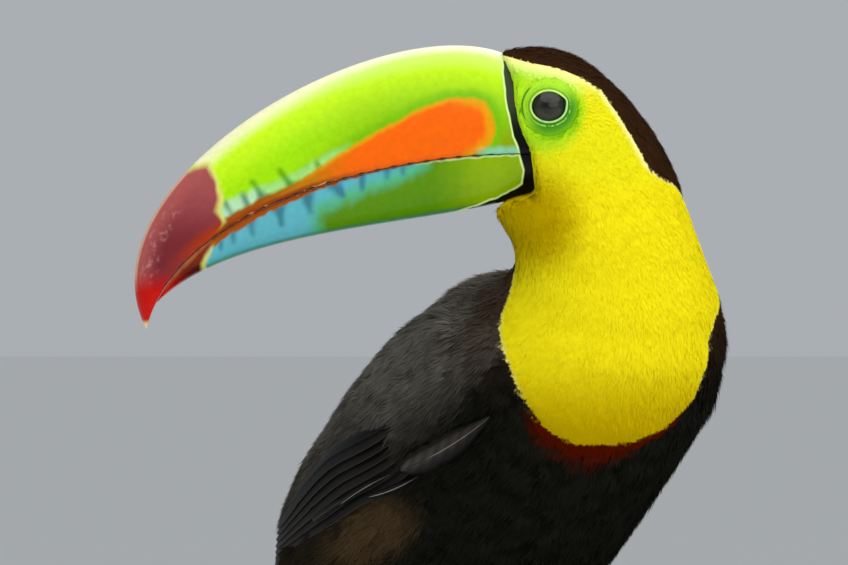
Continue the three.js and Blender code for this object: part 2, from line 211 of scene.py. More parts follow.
def put(tree, kind, settings=None, inputs=None):
    """Adds one node, with its settings, its values and its links. A pattern's scale counts per metre."""
    node = tree.nodes.new(kind)
    inputs = dict(inputs or {})
    if kind in ("ShaderNodeTexNoise", "ShaderNodeTexVoronoi") and "Vector" not in inputs:
        inputs["Vector"] = tree.nodes.new("ShaderNodeTexCoord").outputs["Object"]
    for key, value in (settings or {}).items():
        setattr(node, key, value)
    for key, value in inputs.items():
        if isinstance(value, bpy.types.NodeSocket):
            tree.links.new(value, node.inputs[key])
        else:
            node.inputs[key].default_value = value
    return node


def new_finish(name, **values):
    """A material whose surface shader has these plain values."""
    material = bpy.data.materials.new(name)
    material.use_nodes = True
    tree = material.node_tree
    tree.nodes.clear()
    surface = put(tree, "ShaderNodeBsdfPrincipled")
    for key, value in values.items():
        surface.inputs[key.replace("_", " ")].default_value = value
    put(tree, "ShaderNodeOutputMaterial", inputs={"Surface": surface.outputs[0]})
    return material, tree, surface


def stored(tree, field):
    """A value kept on the mesh, such as the distance from a marking's edge."""
    return put(tree, "ShaderNodeAttribute", {"attribute_name": field}).outputs["Fac"]


def noise(tree, scale, detail, **more):
    """A soft random pattern about scale patches to the metre."""
    return put(tree, "ShaderNodeTexNoise", inputs={"Scale": scale, "Detail": detail, **more}).outputs[0]


def sine(tree, value, rate):
    """The sine of a value times a rate."""
    product = put(tree, "ShaderNodeMath", {"operation": "MULTIPLY"}, {0: value, 1: rate}).outputs[0]
    return put(tree, "ShaderNodeMath", {"operation": "SINE"}, {0: product}).outputs[0]


def paint_over(tree, below, above, share, start=0.0, end=1.0):
    """The colour above laid on the colour below, as share goes from start to end. A colour may be given
    by its code, and a share by the name of a stored value."""
    below, above = (srgb(colour) if isinstance(colour, str) else colour for colour in (below, above))
    share = stored(tree, share) if isinstance(share, str) else share
    step = put(tree, "ShaderNodeMapRange", {"interpolation_type": "SMOOTHSTEP"},
               {"Value": share, "From Min": start, "From Max": end})
    mixed = put(tree, "ShaderNodeMix", {"data_type": "RGBA"}, {0: step.outputs[0], 6: below, 7: above})
    return mixed.outputs[2]


def paint_layers(tree, colour, layers):
    """Colours laid on one another. A layer is a colour, the value it follows, and its start and end."""
    for above, share, start, end in layers:
        colour = paint_over(tree, colour, above, share, start, end)
    return colour


def wear(tree, surface, colour, height=None, strength=0.0, distance=0.0):
    """Gives a surface its colour and, where a height is given, a fine relief. Distance is in metres."""
    tree.links.new(colour, surface.inputs["Base Color"])
    if height is not None:
        relief = put(tree, "ShaderNodeBump",
                     inputs={"Strength": strength, "Distance": distance, "Height": height})
        tree.links.new(relief.outputs[0], surface.inputs["Normal"])


# %% [markdown]
# ## The bird's own directions
# The head looks to the left while the breast is turned half towards the camera. These are the same
# few measures that the solids were made from, repeated here because the feathers must lie along
# them.

# %% Measures shared with the solids
# The eye's middle and the mouth's corner are given in side view, as X and Z.
HEAD_Y = -45.0
EYE_AT = (9.0, 352.5)
GAPE = (3.8, 337.4)
TRUNK_AT = np.array([5.0, -7.0, 259.0])
HEADING, RISE = np.radians(32), np.radians(42)
UP = np.array([0.0, 0.0, 1.0])
AHEAD = np.array([np.sin(HEADING), -np.cos(HEADING), 0.0])
SPINE = AHEAD * np.cos(RISE) + UP * np.sin(RISE)
RIGHT = np.cross(AHEAD, UP)
BACK = np.cross(RIGHT, SPINE)
MIDDLE_LINE = np.array([
    (-14, -45, 349), (-4.6, -45, 347), (4.6, -45, 345.4), (13.3, -45, 336.2), (23, -44, 319.9),
    (29.3, -38, 302), (20.6, -20.5, 274.6), (-3.2, 8.1, 242.2), (-24.5, 40.1, 213.2),
    (-42.7, 69.4, 188.9), (-56, 92, 168), (-70, 115, 148),
])
LINE_T = np.linspace(0, 1, 240)
LINE_AT = smooth(MIDDLE_LINE, LINE_T)
LINE_DOWN = unit(np.gradient(LINE_AT, axis=0))


def lie_of(points):
    """Where points are on the body's middle line, the way to the tail there, and the angle round it."""
    near = np.empty(len(points), int)
    for part in np.array_split(np.arange(len(points)), max(1, len(points) // 20000)):
        near[part] = ((points[part, None] - LINE_AT) ** 2).sum(-1).argmin(1)
    down = LINE_DOWN[near]
    level = np.array([0.0, 1.0, 0.0]) - down[:, 1:2] * down
    level = unit(level)
    across = np.cross(level, down)
    out = points - LINE_AT[near]
    return LINE_T[near], down, np.arctan2(dot(out, across), -dot(out, level))


line_length = np.linalg.norm(np.diff(LINE_AT, axis=0), axis=1).sum()
print("the middle line is", round(float(line_length)), "mm long")

# %% The wing's shell as a chart: how far back, and how far round from the spine
WING_LENGTH, WRIST_AHEAD = 190.0, 24.0
WING = {
    "wide": [42.5, 48.5, 52, 54, 53, 50, 42.5, 33, 22],
    "deep": [42, 48, 51.5, 53.5, 53, 50.5, 43, 33, 22],
    "top": [50, 38, 26, 17, 11, 7, 4, 3, 3],
    "bottom": [100, 110, 112, 106, 95, 80, 62, 43, 20],
}


def wing_point(side, t, k, proud=0.0):
    """A place on the folded wing: t from wrist to tip, k from upper to lower edge, proud outwards."""
    wide, deep, top, bottom = (smooth(WING[key], t) for key in ("wide", "deep", "top", "bottom"))
    angle = np.radians(top + k * (bottom - top))
    reach = 1 / np.hypot(np.sin(angle) / wide, np.cos(angle) / deep) + proud
    back = (-WRIST_AHEAD + WING_LENGTH * t)[..., None]
    return (TRUNK_AT - SPINE * back + RIGHT * (side * reach * np.sin(angle))[..., None]
            + BACK * (reach * np.cos(angle))[..., None])


def wing_chart(points):
    """Where points are on the nearer wing: t from wrist to tip, and k from upper to lower edge."""
    away = points - TRUNK_AT
    t = (WRIST_AHEAD - dot(away, SPINE)) / WING_LENGTH
    angle = np.degrees(np.arctan2(np.abs(dot(away, RIGHT)), dot(away, BACK)))
    top, bottom = (smooth(WING[key], np.clip(t, 0, 1)) for key in ("top", "bottom"))
    return t, (angle - top) / (bottom - top)


print("the folded wing is", WING_LENGTH, "mm from wrist to tip")

# %% [markdown]
# ## Markings
# The yellow of the face, throat and breast ends in one sharp line: over the eye and down the side
# of the nape on the head, and round the breast below, where a band of deep red edges it. On the
# head the line is drawn in side view. On the neck it is drawn on an unrolled chart of angle and
# height, since the neck is turned.

# %% Where each colour ends
# The crown's edge is in side view, as X and Z. The bib's is an angle round the neck and a height.
CROWN_EDGE = [(-12, 370.5), (-5.4, 369), (2.6, 366.6), (11.5, 365), (19.5, 361.8), (25.3, 358.3),
              (30.7, 350.6), (35.8, 342.3), (40.6, 333.7), (44.8, 328.6), (50.9, 322.2), (57, 312)]
BIB_EDGE = [(-243, 370), (-243, 342), (-190, 321), (-130, 310), (-92, 303), (-76, 296), (-67, 289),
            (-61.5, 282.5), (-54.5, 276), (-48.5, 270), (-42, 263), (-36.5, 257), (-31, 252),
            (-24, 248.2), (-14, 245.6), (-3, 245), (22, 246.4), (37, 249.8), (47, 253.6),
            (55, 257.6), (60, 262), (62, 270), (63, 279), (70, 286), (90, 292), (110, 301),
            (112, 312), (98, 322), (63, 342), (63, 370)]
NECK_AXIS_Z = [244, 275, 290, 302, 311, 320, 329, 336, 342]
NECK_AXIS_X = [26, 29, 29.4, 29.3, 26.6, 23, 18.4, 13.3, 8.6]
NECK_AXIS_Y = [-22, -28, -31.5, -38, -42, -43.5, -44.5, -45, -45]
NECK_RADIUS = 34.0


def neck_chart(points):
    """Angle round the neck in degrees, 0 towards -Y and 90 towards +X."""
    x = points[:, 0] - np.interp(points[:, 2], NECK_AXIS_Z, NECK_AXIS_X)
    y = points[:, 1] - np.interp(points[:, 2], NECK_AXIS_Z, NECK_AXIS_Y)
    return np.degrees(np.arctan2(x, -y))


def markings(points):
    """The fields that colour skin and coat alike. bib is in millimetres, and the others go from 0 to 1."""
    far, side, _ = line_distance(points[:, [0, 2]], CROWN_EDGE)
    head = -far * side
    angle = neck_chart(points)
    chart = np.radians(1) * NECK_RADIUS
    edge = np.array(BIB_EDGE, float) * [chart, 1]
    neck = np.maximum(*[inside_distance(np.stack([(angle + turn) * chart, points[:, 2]], 1), edge)
                        for turn in (0, -360)])
    bib = neck + (head - neck) * ease(319, 334, points[:, 2])
    aft = -dot(points - TRUNK_AT, SPINE)
    above = dot(points - TRUNK_AT, BACK)
    low = (1 - ease(246, 268, points[:, 2])) * (1 - 0.5 * ease(10, 50, angle))
    red_wide = 2.4 + 4.4 * mound(angle, -8, 26)
    x, z = points[:, 0] - EYE_AT[0], points[:, 2] - EYE_AT[1]
    orbit = np.hypot(x, z)
    ring = 1 - ease(9, 19, orbit + 3 * x / (orbit + 1))
    lores = (1 - ease(-6, 7, x)) * ease(-17, -8, z)
    lime = np.maximum(ring, lores) * ease(-24, -18, z)
    t, k = wing_chart(points)
    # The next lines find the folded wing and the back, where the feathers get a grey that is painted
    # sheen.
    folded = ease(-0.42, 0.1, t) * (1 - 0.3 * ease(0.12, 0.3, t))
    folded = folded * (1 - ease(0.8, 1.08, k - 0.25 * (1 - ease(0, 0.2, t))))
    folded = folded * (1 - 0.4 * ease(0.34, 0.6, k))
    folded = folded * (1 - 0.7 * (1 - ease(250, 282, points[:, 2])) * ease(0.6, 0.95, k))
    patch = ease(0.2, 0.32, t) * (1 - ease(0.56, 0.7, t)) * ease(0.88, 0.96, k)
    patch = patch * (1 - ease(1.08, 1.22, k))
    return {
        "bib": bib,
        "red": ease(-0.8 - red_wide * low, -0.1 - 0.7 * low, bib) * (1 - ease(250, 261, points[:, 2])),
        "maroon": ease(-20, -3, bib) * ease(250, 300, points[:, 2]),
        "painted_sheen": folded * (points[:, 2] < 310),
        "brown": patch * (0.35 + 0.65 * ease(-64, -50, points[:, 0])),
        "lime": np.maximum(lime, 0.27 * ease(318, 338, points[:, 2])),
        "glow": (1 - ease(0, 7.5, bib)) * ease(338, 352, points[:, 2]) * (1 - ease(14, 27, points[:, 0])),
        "moss": (1 - ease(8.2, 12.5, orbit)) * ease(-0.15, 0.6, (0.45 * x - 0.6 * z) / (orbit + 0.1)),
        # The next field turns the yellow gold low on the bib and under the bill: painted shade.
        "painted_shade": np.maximum(1 - ease(246, 290, points[:, 2]),
                           1 - ease(4, 26, np.hypot(points[:, 0] - 3, points[:, 2] - 318))),
        "rump": ease(88, 92, aft) * ease(3, 6, above),
        "vent": ease(84, 90, aft) * (1 - ease(0, 3, above)),
    }


print("the yellow ends along", len(CROWN_EDGE) + len(BIB_EDGE), "points")

# %% [markdown]
# ## The plumage finish
# Feathers are keratin, and a coat of loose ones is quite matt. Black ones hold melanin, which goes
# brown where it is thin, and yellow ones hold a pigment that pales towards the edge of the bib. The
# same net paints the bare down under the coat and the coat itself, so no other colour shows in the
# gaps. It also holds a painted sheen, grey on the back and folded wings, and a painted shade, gold
# low on the bib and under the bill.

# %% Feather keratin, dyed by the stored markings


def plumage(name, roughness):
    """Feather keratin: IOR 1.54 but no gloss, so the eye reads its colour and lie."""
    material, tree, surface = new_finish(name, Roughness=roughness, IOR=1.54, Specular_IOR_Level=0.0)
    tone = stored(tree, "tone")
    black = paint_over(tree, "0a0a08", "1a1a15", tone)
    # A grey painted sheen for the back and folded wings.
    painted_sheen = paint_over(tree, "4a4842", "77726a", tone)
    black = paint_layers(tree, black, [(painted_sheen, "painted_sheen", 0.0, 1.0), ("402816", "maroon", 0.0, 1.5),
                                       ("4c3c28", "brown", 0.0, 1.3), ("4c1002", "red", 0.0, 1.0)])
    yellow = paint_over(tree, "ead600", "f8ea1a", tone)
    # Gold over the yellow, low on the bib and under the bill, is painted shade; the pale rim at the bib's
    # edge fades under it too.
    yellow = paint_layers(tree, yellow, [("bca000", "painted_shade", 0.1, 1.1), ("b4e424", "lime", 0.0, 1.0),
                                         ("6cb808", "moss", 0.0, 1.1), ("f2fa9c", "glow", 0.0, 1.3)])
    rim = paint_over(tree, "f4ee94", yellow, "painted_shade", 0.3, 0.9)
    yellow = paint_over(tree, rim, yellow, "bib", 0.0, 2.2)
    colour = paint_layers(tree, black, [(yellow, "bib", -0.08, 0.08), ("f0ece2", "rump", 0.3, 0.7),
                                        ("c01c10", "vent", 0.3, 0.7)])
    wear(tree, surface, colour, noise(tree, 2400.0, 3.0), 0.25, 0.0003)
    return material


feather_keratin = plumage("feather_keratin", 0.6)
down_keratin = plumage("down_keratin", 0.85)
print("feathers wear", feather_keratin.name, "over", down_keratin.name)


def scaled_leg_finish():
    """Horny scales over a blue-grey leg: satin keratin with dark seams, so it reads dry and hard."""
    material, tree, surface = new_finish("scaled_leg_keratin", Roughness=0.5, IOR=1.54)
    cells = put(tree, "ShaderNodeTexVoronoi", {"feature": "DISTANCE_TO_EDGE"}, {"Scale": 900.0})
    seams = cells.outputs["Distance"]
    colour = paint_over(tree, "39474f", "8fa6ad", "scute", 0.1, 0.9)
    colour = paint_over(tree, "4d5d66", colour, seams, 0.0, 0.08)
    wear(tree, surface, colour, seams, 0.4, 0.0002)
    return material


scaled_leg_keratin = scaled_leg_finish()

# %% [markdown]
# ## One skin
# Under a real bird's coat is one skin with no joints. Blender's voxel remesh melts the separate
# solids into one closed surface, and smoothing takes their facets off. The skin is then drawn in by
# the coat's depth, thin on the face and thick on the belly. Sculpting would do it too, but then it
# would not follow the solids.

# %% Legs as scaled tubes, to melt into the skin
PERCH_RADIUS = 15.0
PERCH_AT = np.array([-3.0, 0.0, 123.0])
FOOT_OFFSET = 18.0
TARSUS_LENGTH, SHANK_BACK = 45.0, 27.0
# Each toe: its number, ahead or behind, the inner or outer side, and degrees round the perch.
TOES = [(1, -1, -1, 72), (2, 1, -1, 88), (3, 1, 1, 106), (4, -1, 1, 98)]
SHANK_ROWS, TOE_ROWS, LEG_SIDES = 120, 90, 24
SCUTE_HEIGHT = 0.35


def foot_at(side):
    return PERCH_AT + UP * (PERCH_RADIUS + 6.4) + RIGHT * side * FOOT_OFFSET


def heel_at(side):
    return foot_at(side) - AHEAD * SHANK_BACK + UP * np.sqrt(TARSUS_LENGTH**2 - SHANK_BACK**2)


def tube(line, across, radius, sides, squash=1.0):
    """A closed tube round a line of points, with a radius for each point, or each point and side."""
    down = unit(np.gradient(line, axis=0))
    across = unit(across - dot(across, down)[:, None] * down)
    over = np.cross(down, across)
    turn = np.linspace(0, 2 * np.pi, sides, endpoint=False)
    reach = np.broadcast_to(np.asarray(radius, float).reshape(len(line), -1), (len(line), sides))
    ring = (across[:, None] * np.cos(turn)[:, None] + over[:, None] * np.sin(turn)[:, None] * squash)
    points = (line[:, None] + ring * reach[..., None]).reshape(-1, 3)
    points = np.vstack([points, line[:1], line[-1:]])
    fans = end_fans(sides, (len(line) - 1) * sides, len(points))
    return points, [grid_faces(len(line), sides, closed=True), fans]


def grip_line(side, ahead, place, start, end, radius, count):
    """The middle line of a toe or claw that bends round the perch."""
    angle = np.radians(np.linspace(start, end, count))[:, None]
    out = AHEAD * ahead * np.sin(angle) + UP * np.cos(angle)
    drift = place * side * 3.2 + PERCH_RADIUS * angle * np.tan(np.radians(place * side * 11))
    lift = PERCH_RADIUS + 0.3 + 0.15 * radius.max() + radius
    return PERCH_AT + RIGHT * (side * FOOT_OFFSET + drift) + out * lift[:, None]


def scales(t, count, turn, wrap):
    """Height of overlapping scutes along a tube: each rises to its free edge. They fade at the back."""
    step = (t * count) % 1
    return np.outer(step**2.5, ease(-0.2, 0.7, np.cos(turn) * wrap[0] + np.sin(turn) * wrap[1]))


def leg_tubes(side):
    """Shank and four toes of one leg, each with its scutes."""
    made = []
    t = np.linspace(0, 1, SHANK_ROWS)
    turn = np.linspace(0, 2 * np.pi, LEG_SIDES, endpoint=False)
    line = heel_at(side) + AHEAD + (foot_at(side) - UP - heel_at(side) - AHEAD) * t[:, None]
    knob = np.exp(-((t * 7) ** 2)) + np.exp(-(((1 - t) * 7) ** 2))
    radius = (2.7 + 1.2 * knob)[:, None] + SCUTE_HEIGHT * scales(t, 9, turn, (0, 1))
    made.append(tube(line, np.tile(RIGHT, (SHANK_ROWS, 1)), radius, LEG_SIDES))
    for _, ahead, place, reach in TOES:
        t = np.linspace(0, 1, TOE_ROWS)
        thick = smooth([2.5, 2.6, 2.3, 2.4, 1.9], t)
        line = grip_line(side, ahead, place, 6, reach + 4, thick, TOE_ROWS)
        radius = thick[:, None] - 0.15 + SCUTE_HEIGHT * scales(t, 9 + reach / 14, turn, (0, -ahead))
        pads = 0.25 * np.outer(np.sin(t * np.pi * 4) ** 2, np.maximum(np.sin(turn) * ahead, 0))
        made.append(tube(line, np.tile(RIGHT, (TOE_ROWS, 1)), radius + pads, LEG_SIDES))
    return made


# %% Melt the solids into one surface


def welded(node):
    """A solid's points in millimetres with the doubled ones joined, and its triangles."""
    mesh = nodes[node].data
    points = np.empty(len(mesh.vertices) * 3, np.float32)
    mesh.vertices.foreach_get("co", points)
    mesh.calc_loop_triangles()
    faces = np.empty(len(mesh.loop_triangles) * 3, np.int32)
    mesh.loop_triangles.foreach_get("vertices", faces)
    single, back = np.unique(np.round(points.reshape(-1, 3) / MM, 2), axis=0, return_inverse=True)
    faces = back.reshape(-1)[faces].reshape(-1, 3)
    first, second, third = faces.T
    return single, faces[(first != second) & (second != third) & (first != third)]


def point_normals(points, faces):
    """The way out at each point, as the mean of the faces round it."""
    total = np.zeros_like(points)
    for face in faces:
        corner = points[face]
        cross = np.cross(corner[:, 2] - corner[:, 0], corner[:, -1] - corner[:, 1])
        if face.shape[1] == 3:
            cross = np.cross(corner[:, 1] - corner[:, 0], corner[:, 2] - corner[:, 0])
        for k in range(face.shape[1]):
            for axis in range(3):
                total[:, axis] += np.bincount(face[:, k], cross[:, axis], len(points))
    return unit(total)


def melt(parts, voxel, relax):
    """One closed surface round all parts, as points and squares."""
    points, faces, count = [], [], 0
    for p, fs in parts:
        points.append(p)
        faces += [f + count for f in fs]
        count += len(p)
    mesh = bpy.data.meshes.new("melt")
    mesh.from_pydata(np.vstack(points).tolist(), [], [c for f in faces for c in f.tolist()])
    lump = new_object("melt", mesh)
    remesh = lump.modifiers.new("remesh", "REMESH")
    remesh.mode = "VOXEL"
    remesh.voxel_size = voxel
    soften = lump.modifiers.new("soften", "SMOOTH")
    soften.factor = 0.5
    soften.iterations = relax
    ready = lump.evaluated_get(bpy.context.evaluated_depsgraph_get()).to_mesh()
    made = np.empty(len(ready.vertices) * 3, np.float32)
    ready.vertices.foreach_get("co", made)
    squares = np.empty(len(ready.loops), np.int32)
    ready.loops.foreach_get("vertex_index", squares)
    bpy.data.objects.remove(lump)
    return made.reshape(-1, 3).astype(float), squares.reshape(-1, 4)


FLESH = ["head", "neck", "trunk", "wing_left", "wing_right", "thigh_left", "thigh_right",
         "coverts_over_tail", "coverts_under_tail"]
SWELL = 0.35


def swollen(node):
    """A solid grown by SWELL, so that neighbours with a gap between them melt together."""
    points, faces = welded(node)
    return points + point_normals(points, [faces]) * SWELL, [faces]


form, form_faces = melt([swollen(n) for n in FLESH], 1.1, 22)
form_normals = point_normals(form, [form_faces])
limbs, limb_faces = melt([p for s in (-1, 1) for p in leg_tubes(s)], 0.4, 2)
print("body", len(form_faces), "squares, legs", len(limb_faces), "squares")

# %% Draw the skin in by the coat's depth
# Where feathers meet the bill, in millimetres ahead of the mouth's corner and above it.
FACE_EDGE = [(9.8, 44), (9.6, 32.6), (8.0, 31), (6.3, 27.5), (5.3, 23.8), (4.9, 17.4), (3.8, 11),
             (2.5, 6.2), (0.1, 1.4), (-1.0, -5), (-1.5, -11.6), (0.3, -13.9), (8, -15.9), (12, -16.2),
             (15, -16.6), (20, -18.5), (28, -22)]


def ahead_of_face(points):
    """Millimetres in front of the line where feathers meet the bill, and less than 0 behind it."""
    flat = np.stack([GAPE[0] - points[:, 0], points[:, 2] - GAPE[1]], 1)
    far, side, _ = line_distance(flat, FACE_EDGE)
    return far * side


def coat_depth(points):
    """How deep the feathers are, from the thin face to the deep belly."""
    deep = 0.8 + 0.9 * (1 - ease(312, 335, points[:, 2])) + 0.9 * (1 - ease(236, 262, points[:, 2]))
    orbit = np.hypot(points[:, 0] - EYE_AT[0], points[:, 2] - EYE_AT[1])
    round_eye = deep * ease(8, 14, orbit) + 3.6 * (1 - ease(7.6, 9.4, orbit))
    return np.where(points[:, 2] > 330, round_eye, deep)


skin_points = form - form_normals * coat_depth(form)[:, None]
tuck = ease(0.1, 1.8, ahead_of_face(form))
slim = 0.5 + 0.42 * (1 - ease(-12, -7, form[:, 2] - GAPE[1]))
skin_points[:, 1] = HEAD_Y + (skin_points[:, 1] - HEAD_Y) * (1 - slim * tuck)
skin_points[:, 2] -= 3.5 * tuck * form_normals[:, 2]
skin_normals = point_normals(skin_points, [form_faces])
form_tree = BVHTree.FromPolygons(form.tolist(), form_faces.tolist())
print("the coat is", round(float(coat_depth(form).max()), 1), "mm deep at most")

# %% [markdown]
# ## The bare ring round the eye
# A toucan's eye looks out of a patch of bare green skin, with a pale lid ring, a beaded ring
# outside it and fine wrinkles round both. The patch is a round grid laid on the cheek and raised by
# those folds. It belongs to the skin, and its rim dips under the first feathers. Bump alone would
# leave the lids flat from the side.

# %% Lids and wrinkles
CHEEK = 20.3
EYE_DEPTH = 5.35
EYE_RADIUS = 7.0
LID = 4.6
PATCH_REACH, RAISED_REACH = 13.5, 8.6
PATCH_RINGS, PATCH_SIDES = 96, 176


def cheek_out(x, z, side):
    """How far the cheek stands out from the head's middle plane."""
    start = Vector((x, HEAD_Y + side * 60, z))
    hit = form_tree.ray_cast(start, Vector((0, -side, 0)))[0]
    return abs(hit.y - HEAD_Y) if hit else CHEEK


def cheek_ring(reach, turn, side):
    """How far the cheek stands out all round the eye, at one distance from its middle."""
    return np.array([cheek_out(EYE_AT[0] + reach * np.cos(t), EYE_AT[1] + reach * np.sin(t), side)
                     for t in turn])


def lid_patch(side):
    """The bare patch of one side: points, faces, and each point's distance r and angle a round the eye."""
    turn = np.linspace(0, 2 * np.pi, PATCH_SIDES, endpoint=False)
    reach = LID + (PATCH_REACH - LID) * np.linspace(0, 1, PATCH_RINGS) ** 1.25
    r, a = np.meshgrid(reach, turn, indexing="ij")
    oval = 0.87 + 0.13 * ease(5, 10, r)
    corner = r + 0.45 * np.exp(-(((a - 0.4) / 0.28) ** 2) - ((r - 5.6) / 1.0) ** 2)
    x = EYE_AT[0] + corner * np.cos(a)
    z = EYE_AT[1] + corner * np.sin(a) * oval
    rim = cheek_ring(RAISED_REACH, turn, side)
    outer = cheek_ring(PATCH_REACH, turn, side)
    ball = CHEEK - EYE_DEPTH + np.sqrt(np.maximum(EYE_RADIUS**2 - (r * (0.5 + 0.5 * oval)) ** 2, 0))
    brow = CHEEK - 0.2
    cheek = rim + (outer - rim) * np.clip(r - RAISED_REACH, 0, 9) / 4.9
    base = brow + (cheek - brow) * ease(5.2, 9.4, r)
    lid = 0.42 * mound(r, 5.75, 0.28)
    beads = 0.5 + 0.5 * np.sin(a * 52 + 1.3 * np.sin(3 * a))
    beads = beads * (0.3 + 0.7 * ease(-0.5, 0.5, -np.sin(a + 0.2)))
    ring = 0.18 * mound(r, 6.95, 0.24) * beads
    furrow = -0.12 * mound(r, 6.35, 0.2) - 0.1 * mound(r, 7.45, 0.22)
    flow = r + 0.25 * np.sin(5 * a + 0.7) + 0.16 * np.sin(11 * a + r)
    creases = 0.02 * np.sin(flow * 5.4) * ease(7.6, 8.4, r) * (1 - ease(9, 12, r))
    creases = creases * (1 + np.sin(3 * a + r))
    notch = -0.3 * mound(r, 8.5, 0.4) * ease(0.6, 0.98, np.cos(a - 0.95 * np.pi))
    grain = 0.04 * np.sin(a * 61 + r * 3) * np.sin(r * 9) * ease(7.6, 8.4, r)
    out = base + lid + ring + furrow + creases + notch + grain
    out = ball - 0.25 + (out - ball + 0.25) * ease(LID, 5.45, r)
    out = out - 1.7 * ease(8.8, 11.5, r)
    flat = np.stack([x.ravel(), np.zeros(x.size), z.ravel()], 1)
    out = out - 7 * ease(-0.8, 0.9, ahead_of_face(flat)).reshape(x.shape)
    points = np.stack([x, HEAD_Y + side * out, z], -1).reshape(-1, 3)
    faces = grid_faces(PATCH_RINGS, PATCH_SIDES, closed=True)
    return points, faces if side > 0 else faces[:, ::-1], r.reshape(-1), a.reshape(-1)


def bare_skin_finish():
    """Moist bare skin: a little light passes through it, and the lid's rims are pale and beaded."""
    material, tree, surface = new_finish("bare_eye_skin", Roughness=0.42, IOR=1.4,
                                         Specular_IOR_Level=0.2, Subsurface_Weight=0.12,
                                         Subsurface_Scale=0.001)
    ring = stored(tree, "lid")
    front = stored(tree, "front")
    fine = noise(tree, 1200.0, 4.0)
    deep = paint_over(tree, "3c8a02", "7cb804", ring, 7.4, 10.2)
    light = paint_over(tree, "98d424", "a6dc20", ring, 6.7, 8.2)
    colour = paint_over(tree, deep, light, front, -0.55, 0.4)
    fold = paint_over(tree, colour, "4a8c10", "fold", 0.25, 0.9)
    colour = paint_over(tree, colour, fold, ring, 7.2, 7.8)
    bead = paint_over(tree, "98d04c", colour, front, -0.35, 0.1)
    bead = paint_over(tree, colour, bead, fine, 0.4, 0.56)
    colour = paint_over(tree, bead, colour, ring, 7.05, 7.25)
    gully = paint_over(tree, "387c08", "76b012", front, -0.3, 0.3)
    colour = paint_over(tree, gully, colour, ring, 6.62, 6.8)
    pale_lid = paint_over(tree, "bcee94", "c8ec74", front, -0.4, 0.4)
    colour = paint_over(tree, pale_lid, colour, ring, 5.98, 6.14)
    colour = paint_over(tree, "0c0f06", colour, ring, 5.34, 5.5)
    colour = paint_over(tree, colour, "3f8a02", fine, 0.5, 1.05)
    wear(tree, surface, colour, fine, 0.55, 0.0003)
    return material


bare_eye_skin = bare_skin_finish()
print("the bare patch reaches", PATCH_REACH, "mm from the eye's middle")

# %% One skin object for body, legs and lids
patches = [lid_patch(s) for s in (-1, 1)]
blocks = [skin_points, limbs] + [p[0] for p in patches]
starts = np.cumsum([0] + [len(b) for b in blocks])
skin_all = np.vstack(blocks)
skin_fields = markings(skin_all)
skin_fields["tone"] = np.full(len(skin_all), 0.15)
skin_fields["scute"] = 0.5 + 0.4 * ripple(skin_all, 3, 5)
away = {"lid": 20.0, "front": 0.0, "fold": 0.0}
on_patch = {
    "lid": lambda r, a: r,
    "front": lambda r, a: 0.6 * np.sin(a) - 0.45 * np.cos(a),
    "fold": lambda r, a: mound(r, 8.5, 0.42) * ease(0.55, 0.95, np.cos(a - 0.95 * np.pi)),
}
for key, value in on_patch.items():
    rest = np.full(starts[2], away[key])
    skin_fields[key] = np.concatenate([rest] + [value(r, a) for _, _, r, a in patches])
skin_faces = [form_faces, limb_faces + starts[1]]
skin_faces += [patch[1] + starts[2 + i] for i, patch in enumerate(patches)]
TOE_NODES = [f"{word}_toe_{number}" for word in ("left", "right") for number in (1, 2, 3, 4)]
skin = make_piece("skin", skin_all, skin_faces, [down_keratin, scaled_leg_keratin, bare_eye_skin],
                  replaces=FLESH + ["shank_left", "shank_right"] + TOE_NODES,
                  fields=skin_fields)
finish_index = np.concatenate([np.full(len(f), i) for f, i in zip(skin_faces, (0, 1, 2, 2))])
skin.data.polygons.foreach_set("material_index", finish_index.astype(np.int32))

# %% [markdown]
# ## Eyes
# The eye is a wet ball, nearly black brown, with its lids tight round it. A clear coat over a dark
# ball gives the highlight of the tear film, and a slight bulge in front is the cornea. Glass over a
# modelled iris is another way, but this iris is so dark that little more than the highlight is ever
# seen.

# %% Eyeballs


def eye_finish():
    """Dark iris under a tear film: the coat has the cornea's IOR, and a soft-edged highlight."""
    material, tree, surface = new_finish("wet_dark_eye", Roughness=0.35, IOR=1.38,
                                         Specular_IOR_Level=0.12, Coat_Weight=1.0,
                                         Coat_Roughness=0.14, Coat_IOR=1.376)
    ring = stored(tree, "pupil")
    iris = paint_over(tree, "30301a", "16190c", noise(tree, 2400.0, 3.0), 0.35, 0.65)
    colour = paint_over(tree, "020202", iris, ring, 1.0, 3.4)
    wear(tree, surface, paint_over(tree, colour, "0a1a04", ring, 3.5, 4.15))
    return material


